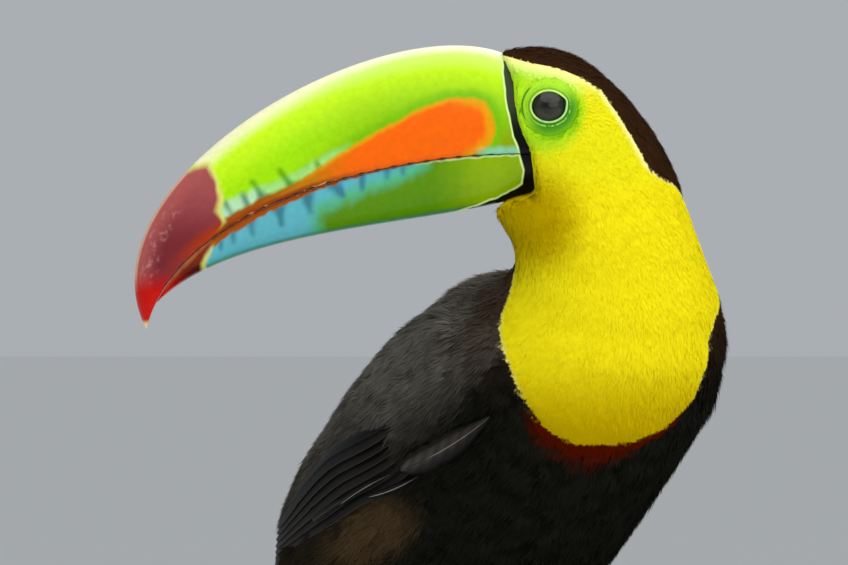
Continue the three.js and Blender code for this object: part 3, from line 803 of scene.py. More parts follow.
wet_dark_eye = eye_finish()
EYE_ROWS, EYE_SIDES = 72, 96
for word, side in (("right", 1), ("left", -1)):
    polar = np.linspace(0.004, np.pi - 0.004, EYE_ROWS)
    turn = np.linspace(0, 2 * np.pi, EYE_SIDES, endpoint=False)
    p, a = np.meshgrid(polar, turn, indexing="ij")
    bulge = EYE_RADIUS + 0.35 * mound(p, 0, 0.5)
    ring = EYE_RADIUS * np.sin(p)
    ball = np.stack([bulge * np.sin(p) * np.cos(a), side * bulge * np.cos(p),
                     bulge * np.sin(p) * np.sin(a)], -1)
    ball += [EYE_AT[0], HEAD_Y + side * (CHEEK - EYE_DEPTH), EYE_AT[1]]
    caps = np.vstack([ball.reshape(-1, 3), ball[0].mean(0), ball[-1].mean(0)])
    faces = [grid_faces(EYE_ROWS, EYE_SIDES, closed=True),
             end_fans(EYE_SIDES, (EYE_ROWS - 1) * EYE_SIDES, len(caps))]
    faces = faces if side < 0 else [f[:, ::-1] for f in faces]
    pupil = np.append(ring.reshape(-1), [0, 9]) + 9 * np.append(p.reshape(-1) > 1.6, [0, 0])
    make_piece("eyeball_" + word, caps, faces, [wet_dark_eye], ["eye_" + word], {"pupil": pupil})

# %% [markdown]
# ## The bill
# The bill is a light shell of keratin over bone foam, as thin as a fingernail and nearly as glossy.
# Its two halves meet in a cutting edge with small teeth. The outline in side view is three smooth
# curves, and its markings are drawn as areas in that same view: lime and orange above, turquoise
# and green below, deep red at the tip, slanting dark bars along the teeth, and a black band at the
# face.

# %% The bill's form
CULMEN = [(9.7, 32.6), (49.9, 46.9), (147.5, -8.7), (123.3, -56.2)]
TOMIUM = [(0, 0), (37.1, 1.1), (113.1, -13.2), (123.3, -56.2)]
GONYS = [(-0.6, -12.4), (31, -23.1), (92.7, -22.3), (118.7, -46.2)]
BILL_HALF_WIDTH = 15.8
TOOTH_STEP = 5.2
BILL_ROWS, BILL_COLUMNS, UNDER_COLUMNS = 340, 73, 7


def bill_half(edge, ridge, narrow, power, teeth):
    """One half of the bill as a closed shell: over the ridge, then back flat under the cutting edge."""
    t = np.linspace(0, 1, BILL_ROWS) ** 0.9
    low, top = edge(t), ridge(t)
    rise = top - low
    length = np.linalg.norm(rise, axis=1, keepdims=True)
    low = low + rise / length * 0.12
    rise = rise / length * np.maximum(length - 0.12, 0.4)
    half = (BILL_HALF_WIDTH * (1 - 0.4 * t) * np.sqrt(np.maximum(1 - t**7, 0.002)) - narrow)[:, None]
    a = np.pi * np.linspace(0, 1, BILL_COLUMNS)
    up = np.sin(a) ** 0.9
    side = np.sign(np.cos(a)) * np.abs(np.cos(a)) ** power
    bite = teeth * np.abs(np.sin(np.pi * low[:, :1] / TOOTH_STEP)) ** 6
    bite = bite * ease(4, 22, low[:, :1]) * (1 - up) ** 6
    flat = low[:, None] + rise[:, None] * (up + bite)[..., None]
    shell = np.stack([flat[..., 0], half * side, flat[..., 1]], -1)
    inner = np.linspace(-1, 1, UNDER_COLUMNS + 2)[1:-1]
    under = np.stack([np.tile(low[:, :1], UNDER_COLUMNS), half * inner,
                      np.tile(low[:, 1:], UNDER_COLUMNS)], -1)
    rings = np.concatenate([shell, under], 1)
    root = rings[:1] * [1, 0.96, 1] - [3.4, 0, 0]
    rings = np.concatenate([root, rings])
    count = rings.shape[1]
    points = rings.reshape(-1, 3)
    points = np.vstack([points, rings[0].mean(0), rings[-1].mean(0)])
    fans = end_fans(count, (len(rings) - 1) * count, len(points))
    return points, [grid_faces(len(rings), count, closed=True), fans]


upper, upper_faces = bill_half(lambda t: bezier(TOMIUM, t),
                               lambda t: bezier(CULMEN, t * (0.75 + 0.25 * t)),
                               narrow=0, power=1.15, teeth=0.018)
lower, lower_faces = bill_half(lambda t: bezier(TOMIUM, 0.93 * t),
                               lambda t: bezier(GONYS, t * (1.15 - 0.15 * t)),
                               narrow=0.7, power=0.8, teeth=0.03)
print("the bill is", round(float(upper[:, 0].max()), 1), "mm long ahead of the mouth's corner")

# %% The bill's markings, in millimetres ahead of the mouth's corner and above it
BAND = [(7.9, 33), (8.0, 30.2), (7.1, 23.8), (6.5, 17.4), (5.3, 11), (4.1, 6.2), (2.1, 1.4),
        (0.7, -5), (0.9, -10.9), (5.2, -13.1), (10.2, -15.1), (16.6, -17.3), (24.6, -19.7), (32, -21.4)]
BAND_WIDTH = [1.3, 1.1, 1.5, 1.6, 1.5, 1.5, 1.9, 1.7, 2.2, 1.6, 1.2, 0.95, 0.6, 0.1]
ORANGE = [(97.8, -20.8), (86, -14.4), (75.8, -10.1), (69.1, -5.6), (61.4, -0.5), (52.5, 5), (43.5, 9.8),
          (34.6, 14.6), (25.6, 17.4), (18.9, 17.4), (15, 16.2), (13.1, 12.3), (12.2, 7.8), (13.4, 3.7),
          (16.6, 1), (21, -1.5), (30, -4), (45, -8), (60, -13), (75, -19), (84, -24), (99, -30)]
TIP = [(116, 2), (111, -5.4), (107.8, -4.4), (103.6, -3.6), (100.4, -9.8), (99.5, -14.6), (100.8, -18.4),
       (98, -22.2), (101.5, -27), (105.3, -35), (103.5, -44), (103.5, -62), (140, -62), (140, 4)]
BLUE = [(35, -3.4), (43.8, -7.6), (53.1, -10.6), (62.7, -15), (68.5, -17.4), (69.5, -21), (68.5, -27),
        (106, -42), (106, -24), (84, -12), (60, 0), (35, 2)]
STREAK = [(98, -18.2), (92, -15.4), (86, -12.2), (79, -9.4), (72, -5.6), (65, -1.4), (58, 2.4)]
RUST_AHEAD, RUST_DEEP = [50, 62, 80, 97, 104], [0.1, 0.6, 2.0, 2.4, 2.2]
# Each bar: where it starts and ends, and half its width at the start.
BARS_UP = [((95.6, -19.8), (97.8, -15.6), 0.8), ((90.2, -17), (92.6, -12.8), 0.95),
           ((85.6, -14.4), (89.2, -9), 1.15), ((76.6, -10.6), (80.4, -5.4), 1.25),
           ((66.8, -4.8), (69, -3), 0.6)]
BARS_DOWN = [((99.6, -28), (99.4, -30.2), 0.6), ((95.4, -25.1), (95.2, -28), 0.8),
             ((89.8, -21.9), (89.3, -25.2), 1.3), ((80.9, -17), (80.1, -22), 2.1),
             ((71.8, -13.1), (71, -18), 2.0), ((63.3, -9.9), (60.1, -13.4), 2.0),
             ((54.4, -7.5), (54.2, -11), 1.1), ((46.2, -5.2), (46.2, -7.4), 0.9),
             ((41.2, -4.4), (41.2, -6.2), 0.6)]


def bill_markings(points):
    """The fields that colour the bill, in millimetres from each marking's edge."""
    flat = points[:, [0, 2]]
    far, _, width = line_distance(flat, BAND, BAND_WIDTH)
    shift = 0.35 * ripple(points, 5, 3)
    bars = np.full(len(points), -9.0)
    for start, end, wide in BARS_UP + BARS_DOWN:
        gap, _, thin = line_distance(flat, [start, end], [wide, 0.4 * wide])
        bars = np.maximum(bars, thin - gap)
    ahead, above = points[:, 0], points[:, 2]
    ridge = bezier(CULMEN, np.linspace(0, 1, 80))
    base = bezier(GONYS, np.linspace(0, 1, 80))
    edge = line_distance(flat, bezier(TOMIUM, np.linspace(0, 1, 80)))[0] + 0.5 * shift
    streak, _, reach = line_distance(flat, STREAK, [1.5, 1.2, 0.6, 0.5, 0.4, 0.2, 0.0])
    ticks = 0.5 + 0.5 * np.sin(1.15 * ahead + 2.5 * ripple(points, 9, 12))
    return {
        "band": width - far + 0.4 * shift,
        "orange": inside_distance(flat, ORANGE) + 0.5 * shift,
        "tip": inside_distance(flat, TIP) + 0.8 * shift,
        "blue": inside_distance(flat, BLUE) + 1.2 * shift,
        "bars": bars + 0.8 * shift,
        "streak": streak - reach + 0.9 * shift,
        "rust": edge - np.interp(ahead, RUST_AHEAD, RUST_DEEP) + 0.6 * shift,
        "ticks": ticks * (1 - ease(0.3, 1.0, edge)) * ease(50, 66, ahead) * (1 - ease(92, 99, ahead)),
        "ahead": ahead + 2 * shift,
        "ridge": line_distance(flat, ridge)[0],
        "keel": line_distance(flat, base)[0],
        "edge": edge,
        "above": above,
    }


print("the cutting edges carry", len(BARS_UP) + len(BARS_DOWN), "dark bars")

# %% The bill's colours


def upper_colours(tree):
    """Lime along the ridge and orange below it, with the dark bars and the rusty edge. Near the crest
    the lime pales to cream, partly the ridge's own colour and partly a painted highlight.
    """
    haze = paint_over(tree, "bce80c", "8ec604", "ridge", 5.0, 20.0)
    haze = paint_over(tree, haze, "86a206", "ridge", 19.0, 30.0)
    front = paint_over(tree, "c6f024", "9cdc04", "ridge", 4.0, 18.0)
    colour = paint_over(tree, haze, front, "ahead", 48.0, 82.0)
    # Cream along the ridge, narrow at the base and wider towards the tip: partly the ridge's own paler
    # horn, partly a painted highlight.
    wide = paint_over(tree, "faf8c8", colour, "ridge", 0.6, 6.5)
    hazy = paint_over(tree, "ccf270", colour, "ridge", 1.5, 9.5)
    colour = paint_over(tree, "f6fcd4", hazy, "ridge", 0.3, 3.4)
    colour = paint_over(tree, colour, wide, "ahead", 40.0, 90.0)
    colour = paint_over(tree, colour, "74b800", "orange", -5.0, -0.8)
    pale = paint_over(tree, "a4dc84", "b4dcb4", "ahead", 82.0, 90.0)
    pale = paint_over(tree, pale, colour, "streak", -0.9, 2.8)
    colour = paint_over(tree, colour, pale, "ahead", 52.0, 66.0)
    dark = paint_over(tree, "4c9018", "4c8868", "above", -8.0, -15.0)
    colour = paint_over(tree, colour, dark, "bars", -1.5, 1.3)
    sharp = paint_over(tree, "f06402", "b47408", "ahead", 54.0, 74.0)
    sharp = paint_over(tree, sharp, "a04c0a", "ahead", 78.0, 90.0)
    border = paint_over(tree, "e09a08", "9c500c", "ahead", 62.0, 84.0)
    colour = paint_over(tree, colour, border, "orange", -1.3, 0.3)
    crisp = paint_over(tree, colour, sharp, "orange", -0.4, 1.5)
    golden = paint_over(tree, colour, sharp, "orange", 0.6, 3.8)
    colour = paint_over(tree, golden, crisp, "ahead", 17.0, 27.0)
    corner = paint_over(tree, "8fd6b4", colour, "edge", 0.5, 3.4)
    colour = paint_over(tree, corner, colour, "ahead", 12.0, 20.0)
    rust = paint_over(tree, "8c3c0a", colour, "edge", 0.5, 2.2)
    return paint_over(tree, colour, rust, "ahead", 46.0, 74.0)


def lower_colours(tree):
    """Green at the base and turquoise ahead of it, with darker bars along the cutting edge."""
    colour = paint_over(tree, "568e00", "588c00", "keel", 0.5, 8.0)
    colour = paint_over(tree, "88ac00", colour, "ahead", 12.0, 34.0)
    colour = paint_over(tree, colour, "54b084", "blue", -4.4, 0.2)
    colour = paint_over(tree, colour, "5eb0be", "blue", -0.8, 3.6)
    colour = paint_over(tree, "2f7f58", colour, "keel", 0.0, 1.8)
    colour = paint_over(tree, colour, "3a7c8c", "bars", -1.4, 1.4)
    pale = paint_over(tree, "d8f8b0", colour, "edge", 0.3, 1.2)
    colour = paint_over(tree, pale, colour, "ahead", 26.0, 44.0)
    return paint_over(tree, "a04c0a", colour, "rust", -0.6, 0.6)


def tip_colours(tree, upper_half):
    """The deep red tip with a cream point. The upper half is paler on the ridge, with pale flecks that
    are partly scratches and partly painted glints, and a painted highlight along the crest.
    """
    red = paint_over(tree, "9c4c4e", "742a30", "above", -9.0, -30.0)
    if upper_half:
        red = paint_over(tree, "b05a58", red, "ridge", 0.8, 8.0)
        # Pale flecks near the ridge: partly scratches, partly painted glints of the gloss.
        worn = paint_over(tree, red, "bc827e", noise(tree, 520.0, 1.0), 0.5, 0.85)
        worn = paint_over(tree, red, worn, "ridge", 1.2, 2.6)
        worn = paint_over(tree, worn, red, "ridge", 5.0, 8.5)
        red = paint_over(tree, red, worn, "above", -12.0, -22.0)
        # A painted highlight along the ridge's crest.
        red = paint_over(tree, "e0a888", red, "ridge", 0.5, 1.1)
        gape = paint_over(tree, "ac380c", red, "edge", 0.5, 5.0)
        red = paint_over(tree, red, gape, "above", -42.0, -24.0)
    else:
        red = paint_over(tree, "380a06", "7c2810", "keel", 0.5, 4.5)
        red = paint_over(tree, "b87040", red, "edge", 0.2, 1.6)
    return paint_layers(tree, red, [("c4140c", "above", -36.0, -46.0),
                                    ("f4dca4", "above", -52.6, -54.8)])


def bill_finish(name, upper_half):
    """Bill keratin: IOR 1.54 with a satin gloss, and light scattered just under it, so colour glows."""
    material, tree, surface = new_finish(name, Roughness=0.3, IOR=1.54, Specular_IOR_Level=0.1,
                                         Coat_Weight=0.03, Coat_Roughness=0.12, Subsurface_Weight=0.1,
                                         Subsurface_Scale=0.002)
    colour = upper_colours(tree) if upper_half else lower_colours(tree)
    colour = paint_over(tree, colour, "dca058", "ticks", 0.6, 0.95)
    trim = paint_over(tree, colour, "dcd870", "tip", -1.9, 0.2)
    colour = paint_over(tree, colour, trim, "edge", 0.6, 3.4)
    # The black band goes olive grey higher up: a painted sheen.
    black = paint_over(tree, "040404", "343c24", "above", 6.0, 17.0)
    colour = paint_layers(tree, colour, [(tip_colours(tree, upper_half), "tip", -0.6, 1.3),
                                         ("d4f49c", "band", -0.95, -0.5), (black, "band", -0.3, 0.1)])
    lines = noise(tree, 500.0, 5.0, Roughness=0.6)
    shade = put(tree, "ShaderNodeMapRange", inputs={"Value": lines, "From Min": 0.3, "From Max": 0.7,
                                                    "To Min": 0.93, "To Max": 1.05})
    mottle = put(tree, "ShaderNodeHueSaturation",
                 inputs={"Color": colour, "Saturation": 1.02, "Value": shade.outputs[0]})
    wear(tree, surface, mottle.outputs[0], lines, 0.12, 0.0006)
    return material


def in_place(points):
    """Bill points, ahead of the mouth's corner, put where the head is."""
    return np.stack([GAPE[0] - points[:, 0], HEAD_Y + points[:, 1], GAPE[1] + points[:, 2]], 1)


make_piece("bill_upper_shell", in_place(upper), upper_faces, [bill_finish("bill_keratin_upper", True)],
           ["bill_upper"], bill_markings(upper))
make_piece("bill_lower_shell", in_place(lower), lower_faces, [bill_finish("bill_keratin_lower", False)],
           ["bill_lower"], bill_markings(lower))

# %% [markdown]
# ## The coat
# Small feathers cover the body like thatch: each starts under its neighbours and lies towards the
# tail. A toucan's are loose, so they look like fine hair from near by. Each one here is a tuft of
# thin tapered barbs, real mesh that survives export. Its place is picked at random with an even
# spacing, and it takes the skin's markings at its root. Its normals come from the skin, so the coat
# shades as one soft form.

# %% Pick the roots


def scatter(points, squares, normals, spacing, seed):
    """Evenly spaced random places on a surface, where spacing is a length at each of its points."""
    rng = np.random.default_rng(seed)
    tris = np.vstack([squares[:, [0, 1, 2]], squares[:, [0, 2, 3]]])
    a, b, c = (points[tris[:, k]] for k in range(3))
    size = spacing[tris].mean(1)
    weight = np.linalg.norm(np.cross(b - a, c - a), axis=1) / size**2
    count = int(2.6 * weight.sum())
    pick = rng.choice(len(tris), count, p=weight / weight.sum())
    u, v = rng.random((2, count))
    over = u + v > 1
    u[over], v[over] = 1 - u[over], 1 - v[over]
    share = np.stack([1 - u - v, u, v], 1)[..., None]
    place = (points[tris[pick]] * share).sum(1)
    facing = unit((normals[tris[pick]] * share).sum(1))
    apart = size[pick] * 0.82
    tree = KDTree(count)
    for i, p in enumerate(place.tolist()):
        tree.insert(p, i)
    tree.balance()
    kept = np.ones(count, bool)
    for i, (p, r) in enumerate(zip(place.tolist(), apart.tolist())):
        if kept[i]:
            for _, j, _ in tree.find_range(p, r):
                kept[j] = j <= i and kept[j]
    return place[kept], facing[kept]


def feather_spacing(points):
    """Close together on the face, wider on the back and belly, in millimetres."""
    bib = markings(points)["bib"]
    face = ease(318, 332, points[:, 2])
    body = 2.05 - 0.25 * ease(236, 290, points[:, 2])
    gap = np.where(bib > -1, 1.22, body)
    gap = np.where(np.abs(bib - 0.3) < 1.8, 0.9, gap)
    return gap * (1 - face) + 1.05 * face


spacing = feather_spacing(skin_points) * 1.0
root_at, root_out = scatter(skin_points, form_faces, skin_normals, spacing, 7)
print(len(root_at), "feather roots")

# %% Leave bare what is bare: the eye's ring, the bill, and skin under the folded wings


def tree_of(names):
    """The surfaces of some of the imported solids, as a tree that answers what is near."""
    points, faces, count = [], [], 0
    for name in names:
        p, f = welded(name)
        points.append(p)
        faces.append(f + count)
        count += len(p)
    return BVHTree.FromPolygons(np.vstack(points).tolist(), np.vstack(faces).tolist())


def near(tree, points, reach):
    """True where a point is within reach of the surfaces in the tree."""
    return np.array([tree.find_nearest(p, reach)[0] is not None for p in points.tolist()])


def under(tree, points, normals, reach):
    """True where the tree's surface lies within reach straight out from a point."""
    return np.array([tree.ray_cast(Vector(p), Vector(n), reach)[0] is not None
                     for p, n in zip(points, normals)])


long_feathers = tree_of(["flight_left", "flight_right"])
covered = near(long_feathers, root_at, 1.6) | under(long_feathers, root_at, root_out, 9.0)
covered |= ahead_of_face(root_at) > 0.25
covered |= near(tree_of(["tail"]), root_at, 2.0)
orbit = np.hypot(root_at[:, 0] - EYE_AT[0], root_at[:, 2] - EYE_AT[1])
covered |= (orbit < 8.9) & (root_at[:, 2] > 330)
wing_t, wing_k = wing_chart(root_at)
wing_k = wing_k - 0.07 * (1 - ease(0.16, 0.36, wing_t))
covered |= ((wing_t > 0.21 + 0.02 * np.sin(40 * wing_k)) & (np.abs(wing_k - 0.775) < 0.115)
            & (root_at[:, 2] < 290))
root_at, root_out = root_at[~covered], root_out[~covered]
from_body = len(root_at)
print(from_body, "feather roots stay on the skin")

# %% Add small feathers over the roots of the wing's long ones
SHEET_ROWS, SHEET_COLUMNS = 60, 120
for side in (-1, 1):
    first = -0.12 if side < 0 else -0.38
    t, k = np.meshgrid(np.linspace(0.36, 0.66, SHEET_ROWS), np.linspace(first, 1.03, SHEET_COLUMNS),
                       indexing="ij")
    t, k = t.ravel(), k.ravel()
    sunk = 1.9 + 2.6 * ease(0.88, 1.0, k) + 5.0 * (1 - ease(-0.16, 0.1, k))
    sunk = sunk * (1 - ease(0.36, 0.52, t))
    sheet = wing_point(side, t, k, -0.3 - sunk)
    squares = grid_faces(SHEET_ROWS, SHEET_COLUMNS)
    sheet_out = point_normals(sheet, [squares])
    axle = sheet - TRUNK_AT
    axle = axle - dot(axle, SPINE)[:, None] * SPINE
    sheet_out *= np.sign(dot(sheet_out, axle))[:, None]
    spacing = np.full(len(sheet), 2.1)
    at, out = scatter(sheet, squares, sheet_out, spacing, 11 + side)
    t, k = wing_chart(at)
    soft = (t < 0.6 + 0.02 * np.sin(31 * k)) & ((k < 0.68) | (k > 0.9))
    root_at, root_out = np.vstack([root_at, at[soft]]), np.vstack([root_out, out[soft]])
root_marks = markings(root_at)
root_marks["rump"][from_body:] = 0
root_marks["vent"][from_body:] = 0
root_t, root_down, root_angle = lie_of(root_at)
print(len(root_at), "feather roots in all")

# %% Shape one kind of feather as tufts
rng = np.random.default_rng(21)
PATCH_SIZE = 0.003


def lie_on(out, down, sway):
    """The way to the tail along the surface, turned by sway radians."""
    along = unit(down - dot(down, out)[:, None] * out)
    side = np.cross(out, along)
    return unit(along * np.cos(sway)[:, None] + side * np.sin(sway)[:, None])


WAVES = 3


def tufts(name, pick, length, width, rise, barbs, fan, round_off, sway, crisp=1.0):
    """Feathers as tufts of tapered barbs, in one piece. An array holds a value for each picked root."""
    at, out, marks = root_at[pick], root_out[pick], {k: v[pick] for k, v in root_marks.items()}
    count = len(at)
    turned = rng.normal(0, sway, count) + 0.16 * ripple(at, 16, 9)
    along = lie_on(out, root_down[pick], turned)
    side = np.cross(out, along)
    length = np.broadcast_to(length, count) * rng.uniform(0.85, 1.15, count)
    rise = np.broadcast_to(rise, count) * rng.uniform(0.75, 1.2, count)
    width = np.broadcast_to(width, count)
    place = np.linspace(-1, 1, barbs)
    lean = place * fan + rng.normal(0, fan * 0.25, (count, barbs))
    reach = (1 - 0.28 * place**2) * rng.uniform(0.86, 1.1, (count, barbs))
    s = np.linspace(0, 1, WAVES)
    curve = lean[..., None] * (0.6 + 0.4 * s)
    run = (length[:, None] * reach)[..., None] * s
    ahead = run * np.cos(curve)
    aside = run * np.sin(curve) + (place * 0.42)[None, :, None] * width[:, None, None]
    fall = run**2 / (2 * round_off)
    high = -0.25 + (rise[:, None, None] + 0.25) * (1.7 * s - 0.7 * s**2) - fall
    high = high + 0.12 * rise[:, None, None] * rng.normal(0, 1, (count, barbs, 1)) * s
    middle = (at[:, None, None] + along[:, None, None] * ahead[..., None]
              + side[:, None, None] * aside[..., None] + out[:, None, None] * high[..., None])
    thick = 0.5 * width[:, None, None] / barbs * 1.9 * np.where(s < 0.999, 1 - 0.35 * s**2, 0)
    thick = np.broadcast_to(thick, (count, barbs, WAVES))
    left = middle - side[:, None, None] * thick[..., None]
    right = middle + side[:, None, None] * thick[..., None]
    body = np.stack([left, right], 3)[:, :, :-1].reshape(count, barbs, -1, 3)
    points = np.concatenate([body, middle[:, :, -1:]], 2)
    per = points.shape[2]
    tilt = np.tile([-0.35 * crisp, 0.35 * crisp], WAVES - 1).tolist() + [0.0]
    back = np.repeat(s[:-1], 2).tolist() + [1.0]
    bend = (length / round_off)[:, None, None] * np.array(back)
    normal = unit(out[:, None, None] + along[:, None, None] * bend[..., None]
                  + side[:, None, None] * (np.array(tilt) + 0.5 * crisp * lean[..., None])[..., None]
                  + rng.normal(0, 0.05 * crisp, (count, 1, 1, 3)))
    first = np.arange(count * barbs)[:, None, None] * per
    k = 2 * np.arange(WAVES - 2)[None, :, None]
    quads = (first + k + np.array([1, 0, 2, 3])).reshape(-1, 4)
    tips = (first[:, 0] + per - 3 + np.array([1, 0, 2])).reshape(-1, 3)
    each = barbs * per
    fields = {key: np.repeat(value, each) for key, value in marks.items()}
    tone = np.clip(0.5 + crisp * (rng.normal(0, 0.25, count) + 0.2 * ripple(at, 9, 4)), 0, 1)
    fields["tone"] = np.clip(np.repeat(tone, each) + np.tile(0.25 * np.array(back), count * barbs), 0, 1)
    home = np.stack([0.05 + 0.9 * root_t[pick], 0.5 + root_angle[pick] * 0.14], 1)
    patch = np.stack([np.tile(np.array(back) - 0.5, count * barbs),
                      np.repeat(np.tile(place, count), per) * 0.5], 1) * PATCH_SIZE
    uv = np.repeat(home, each, 0) + patch
    return make_piece(name, points.reshape(-1, 3), [quads, tips], [feather_keratin],
                      fields=fields, uv=uv, normals=normal.reshape(-1, 3))


# %% Clothe the bird, one kind of feather after another
bib, high_up = root_marks["bib"], root_at[:, 2]
is_rump, is_vent = root_marks["rump"] > 0.5, root_marks["vent"] > 0.5
is_head = (high_up > 322) & ~is_rump & ~is_vent
is_yellow = (bib > 0) & ~is_head
is_black = ~(is_head | is_yellow | is_rump | is_vent)
aft = -dot(root_at - TRUNK_AT, SPINE)
is_back = is_black & (dot(root_at - TRUNK_AT, BACK) > -6)
is_front = is_black & ~is_back
border = 0.4 + 0.6 * ease(0.4, 4.5, np.abs(bib))
narrow = 0.6 + 0.4 * ease(1.5, 3.5, np.abs(bib))
is_face = is_head & (bib > 0)
is_crown = is_head & ~is_face
orbit_face = ease(9, 16, np.hypot(root_at[is_face, 0] - EYE_AT[0], root_at[is_face, 2] - EYE_AT[1]))
front_small = 0.5 + 0.5 * ease(-6, 12, root_at[is_face, 0])
face_rise = 0.4 + 0.6 * orbit_face
# Each call says which roots, and then length, width, rise, barbs, their fan, how round the body is, sway.
tufts("face_feathers", is_face, 3.2 * face_rise * front_small * border[is_face],
      1.5 * narrow[is_face], 0.5 * face_rise * border[is_face], 6, 0.14, 26.0, 0.05,
      crisp=0.35)
tufts("crown_feathers", is_crown, 5.2 * border[is_crown], 1.5 * narrow[is_crown],
      rng.uniform(0.6, 1.25, is_crown.sum()) * border[is_crown], 7, 0.2, 26.0, 0.12, crisp=1.2)
top = is_yellow & (high_up > 286)
low = is_yellow & ~top
chin = 0.45 + 0.55 * ease(0, 6, -ahead_of_face(root_at[top]))
tufts("throat_feathers", top, 5.2 * border[top] * chin, 1.8 * narrow[top],
      0.7 * border[top] * chin, 7, 0.14, 34.0, 0.05, crisp=0.28)
tufts("breast_bib_feathers", low, 5.6 * border[low], 1.9 * narrow[low],
      0.75 * border[low], 7, 0.14, 42.0, 0.05, crisp=0.28)
edge_soft = ease(-16, 0, bib)
tufts("back_feathers", is_back, (9.0 - 2.5 * edge_soft[is_back]) * border[is_back], 2.7,
      2.0 * border[is_back], 9, 0.2, 48.0, 0.12, crisp=0.8)
tufts("belly_feathers", is_front, (9.6 - 3.0 * edge_soft[is_front]) * border[is_front], 2.7,
      (2.3 - 0.8 * edge_soft[is_front]) * border[is_front], 9, 0.2, 48.0, 0.12, crisp=0.8)
tufts("rump_feathers", is_rump, 6.8, 2.6, 2.0, 8, 0.22, 40.0, 0.12)
tufts("vent_feathers", is_vent, 9.0, 2.8, 2.6, 8, 0.24, 30.0, 0.14)

# %% [markdown]
# ## Wings and tail
# The long feathers are stiff: a shaft, two webs of barbs hooked together, and a rounded tip. They
# stack like a closed fan, each lying partly under the one nearer the back. Each vane is a curved
# grid with a raised shaft, drawn along the wing's own shell from wrist to tip, and closed
# underneath so that it has thickness.

# %% The finish of a stiff vane


def vane_finish():
    """Stiff feather keratin. Its barbs are drawn 0.66 mm apart, coarser than life, so that they show."""
    material, tree, surface = new_finish("vane_keratin", Roughness=0.5, IOR=1.54,
                                         Specular_IOR_Level=0.06)
    tone = stored(tree, "tone")
    across = stored(tree, "across")
    inward = put(tree, "ShaderNodeMath", {"operation": "ABSOLUTE"}, {0: across}).outputs[0]
    slant = put(tree, "ShaderNodeMath", {"operation": "MULTIPLY_ADD"},
                {0: inward, 1: -9.0, 2: stored(tree, "run")}).outputs[0]
    barb = put(tree, "ShaderNodeMapRange", inputs={"Value": sine(tree, slant, 9.5), "From Min": -1.0,
                                                   "From Max": 1.0}).outputs[0]
    colour = paint_layers(tree, "0c0b0b", [("1e1d1c", barb, 0.0, 1.0), ("2a2522", tone, 0.5, 1.0),
                                           ("382c23", inward, 0.86, 1.02), ("3e3e3a", tone, 0.85, 1.4)])
    # A tone pushed below zero turns the vane near black: painted shadow in the grooves between the
    # coverts.
    colour = paint_over(tree, "030303", colour, tone, -0.5, 0.3)
    # A pale shaft is a painted highlight along the shaft.
    shaft = paint_over(tree, "221c1a", "d6cfca", "pale")
    colour = paint_over(tree, shaft, colour, inward, 0.015, 0.06)
    wear(tree, surface, colour, barb, 0.3, 0.0002)
    return material


vane_keratin = vane_finish()
print("long feathers wear", vane_keratin.name)

# %% One long feather
HALF_WEB = np.array([0.07, 0.18, 0.36, 0.58, 0.8, 1])
WEB_SHARES = np.concatenate([-HALF_WEB[::-1], [0], HALF_WEB])


def rounded_tip(s, start, length):
    """A width that stays 1 and closes in a round tip over the last length."""
    return np.sqrt(np.clip(1 - np.clip((s - start) / length, 0, 1) ** 2, 0.003, 1))


def vane_sheet(centre, sides, half, thick, tone, seed):
    """One long feather. centre(s, q, high) places it: s along, q across and high above the form."""
    r = np.random.default_rng(seed)
    rows, q = len(half), WEB_SHARES
    s = np.linspace(0, 1, rows)[:, None]
    ragged = 1 - 0.10 * mound(s, r.uniform(0.45, 0.9), 0.012) * (q > 0)
    ragged = ragged - 0.12 * mound(s, r.uniform(0.55, 0.95), 0.014) * (q < 0)
    wide = half[:, None] * q * ragged * (1 + 0.015 * np.sin(s * 170 + q * 3) * np.abs(q))
    shaft = 0.34 * mound(q, 0, 0.07) * (1 - 0.7 * s)
    camber = 0.5 * (1 - q**2)
    top = centre(s + 0 * q, wide, sides * q + shaft + camber)
    under = centre(s + 0 * q, wide, sides * q + camber - thick * (1 - 0.6 * np.abs(q)))
    points = np.concatenate([top, under[:, ::-1]], 1).reshape(-1, 3)
    n = 2 * len(q)
    faces = [grid_faces(rows, n, closed=True)]
    for first, flip in ((0, True), ((rows - 1) * n, False)):
        i = np.arange(len(q) - 1)
        cap = np.stack([first + i, first + i + 1, first + n - 2 - i, first + n - 1 - i], 1)
        faces.append(cap[:, ::-1] if flip else cap)
    shaft_line = top[:, len(HALF_WEB)]
    steps = np.linalg.norm(np.diff(shaft_line, axis=0), axis=1)
    run = np.tile(np.cumsum(np.r_[0, steps])[:, None], n)
    across = np.tile(np.r_[q, q[::-1]], (rows, 1))
    fields = {"run": run.ravel(), "across": across.ravel(), "tone": np.full(run.size, tone),
              "pale": np.zeros(run.size)}
    return points, faces, fields, shaft_line[0]


def outward(points, faces):
    """Turns the faces so that they look away from the sheet's own middle."""
    a, b, c = (points[faces[0][:, k]] for k in range(3))
    centre = points.mean(0)
    volume = dot(np.cross(b - a, c - a), a - centre).sum()
    return faces if volume > 0 else [f[:, ::-1] for f in faces]


def join_sheets(name, sheets, replaces=()):
    """Many long feathers as one piece."""
    points, faces, fields, uv, count = [], [], {}, [], 0
    for p, fs, marks, root in sheets:
        faces += [f + count for f in outward(p, fs)]
        points.append(p)
        count += len(p)
        for key, value in marks.items():
            fields.setdefault(key, []).append(value)
        t, _, angle = lie_of(root[None])
        at = np.array([0.05 + 0.9 * t[0], 0.5 + 0.14 * angle[0]])
        size = np.stack([marks["across"] * 0.5, marks["run"] / marks["run"].max() - 0.5], 1)
        uv.append(at + size * PATCH_SIZE)
    fields = {key: np.concatenate(value) for key, value in fields.items()}
    return make_piece(name, np.vstack(points), faces, [vane_keratin], replaces,
                      fields, np.vstack(uv))


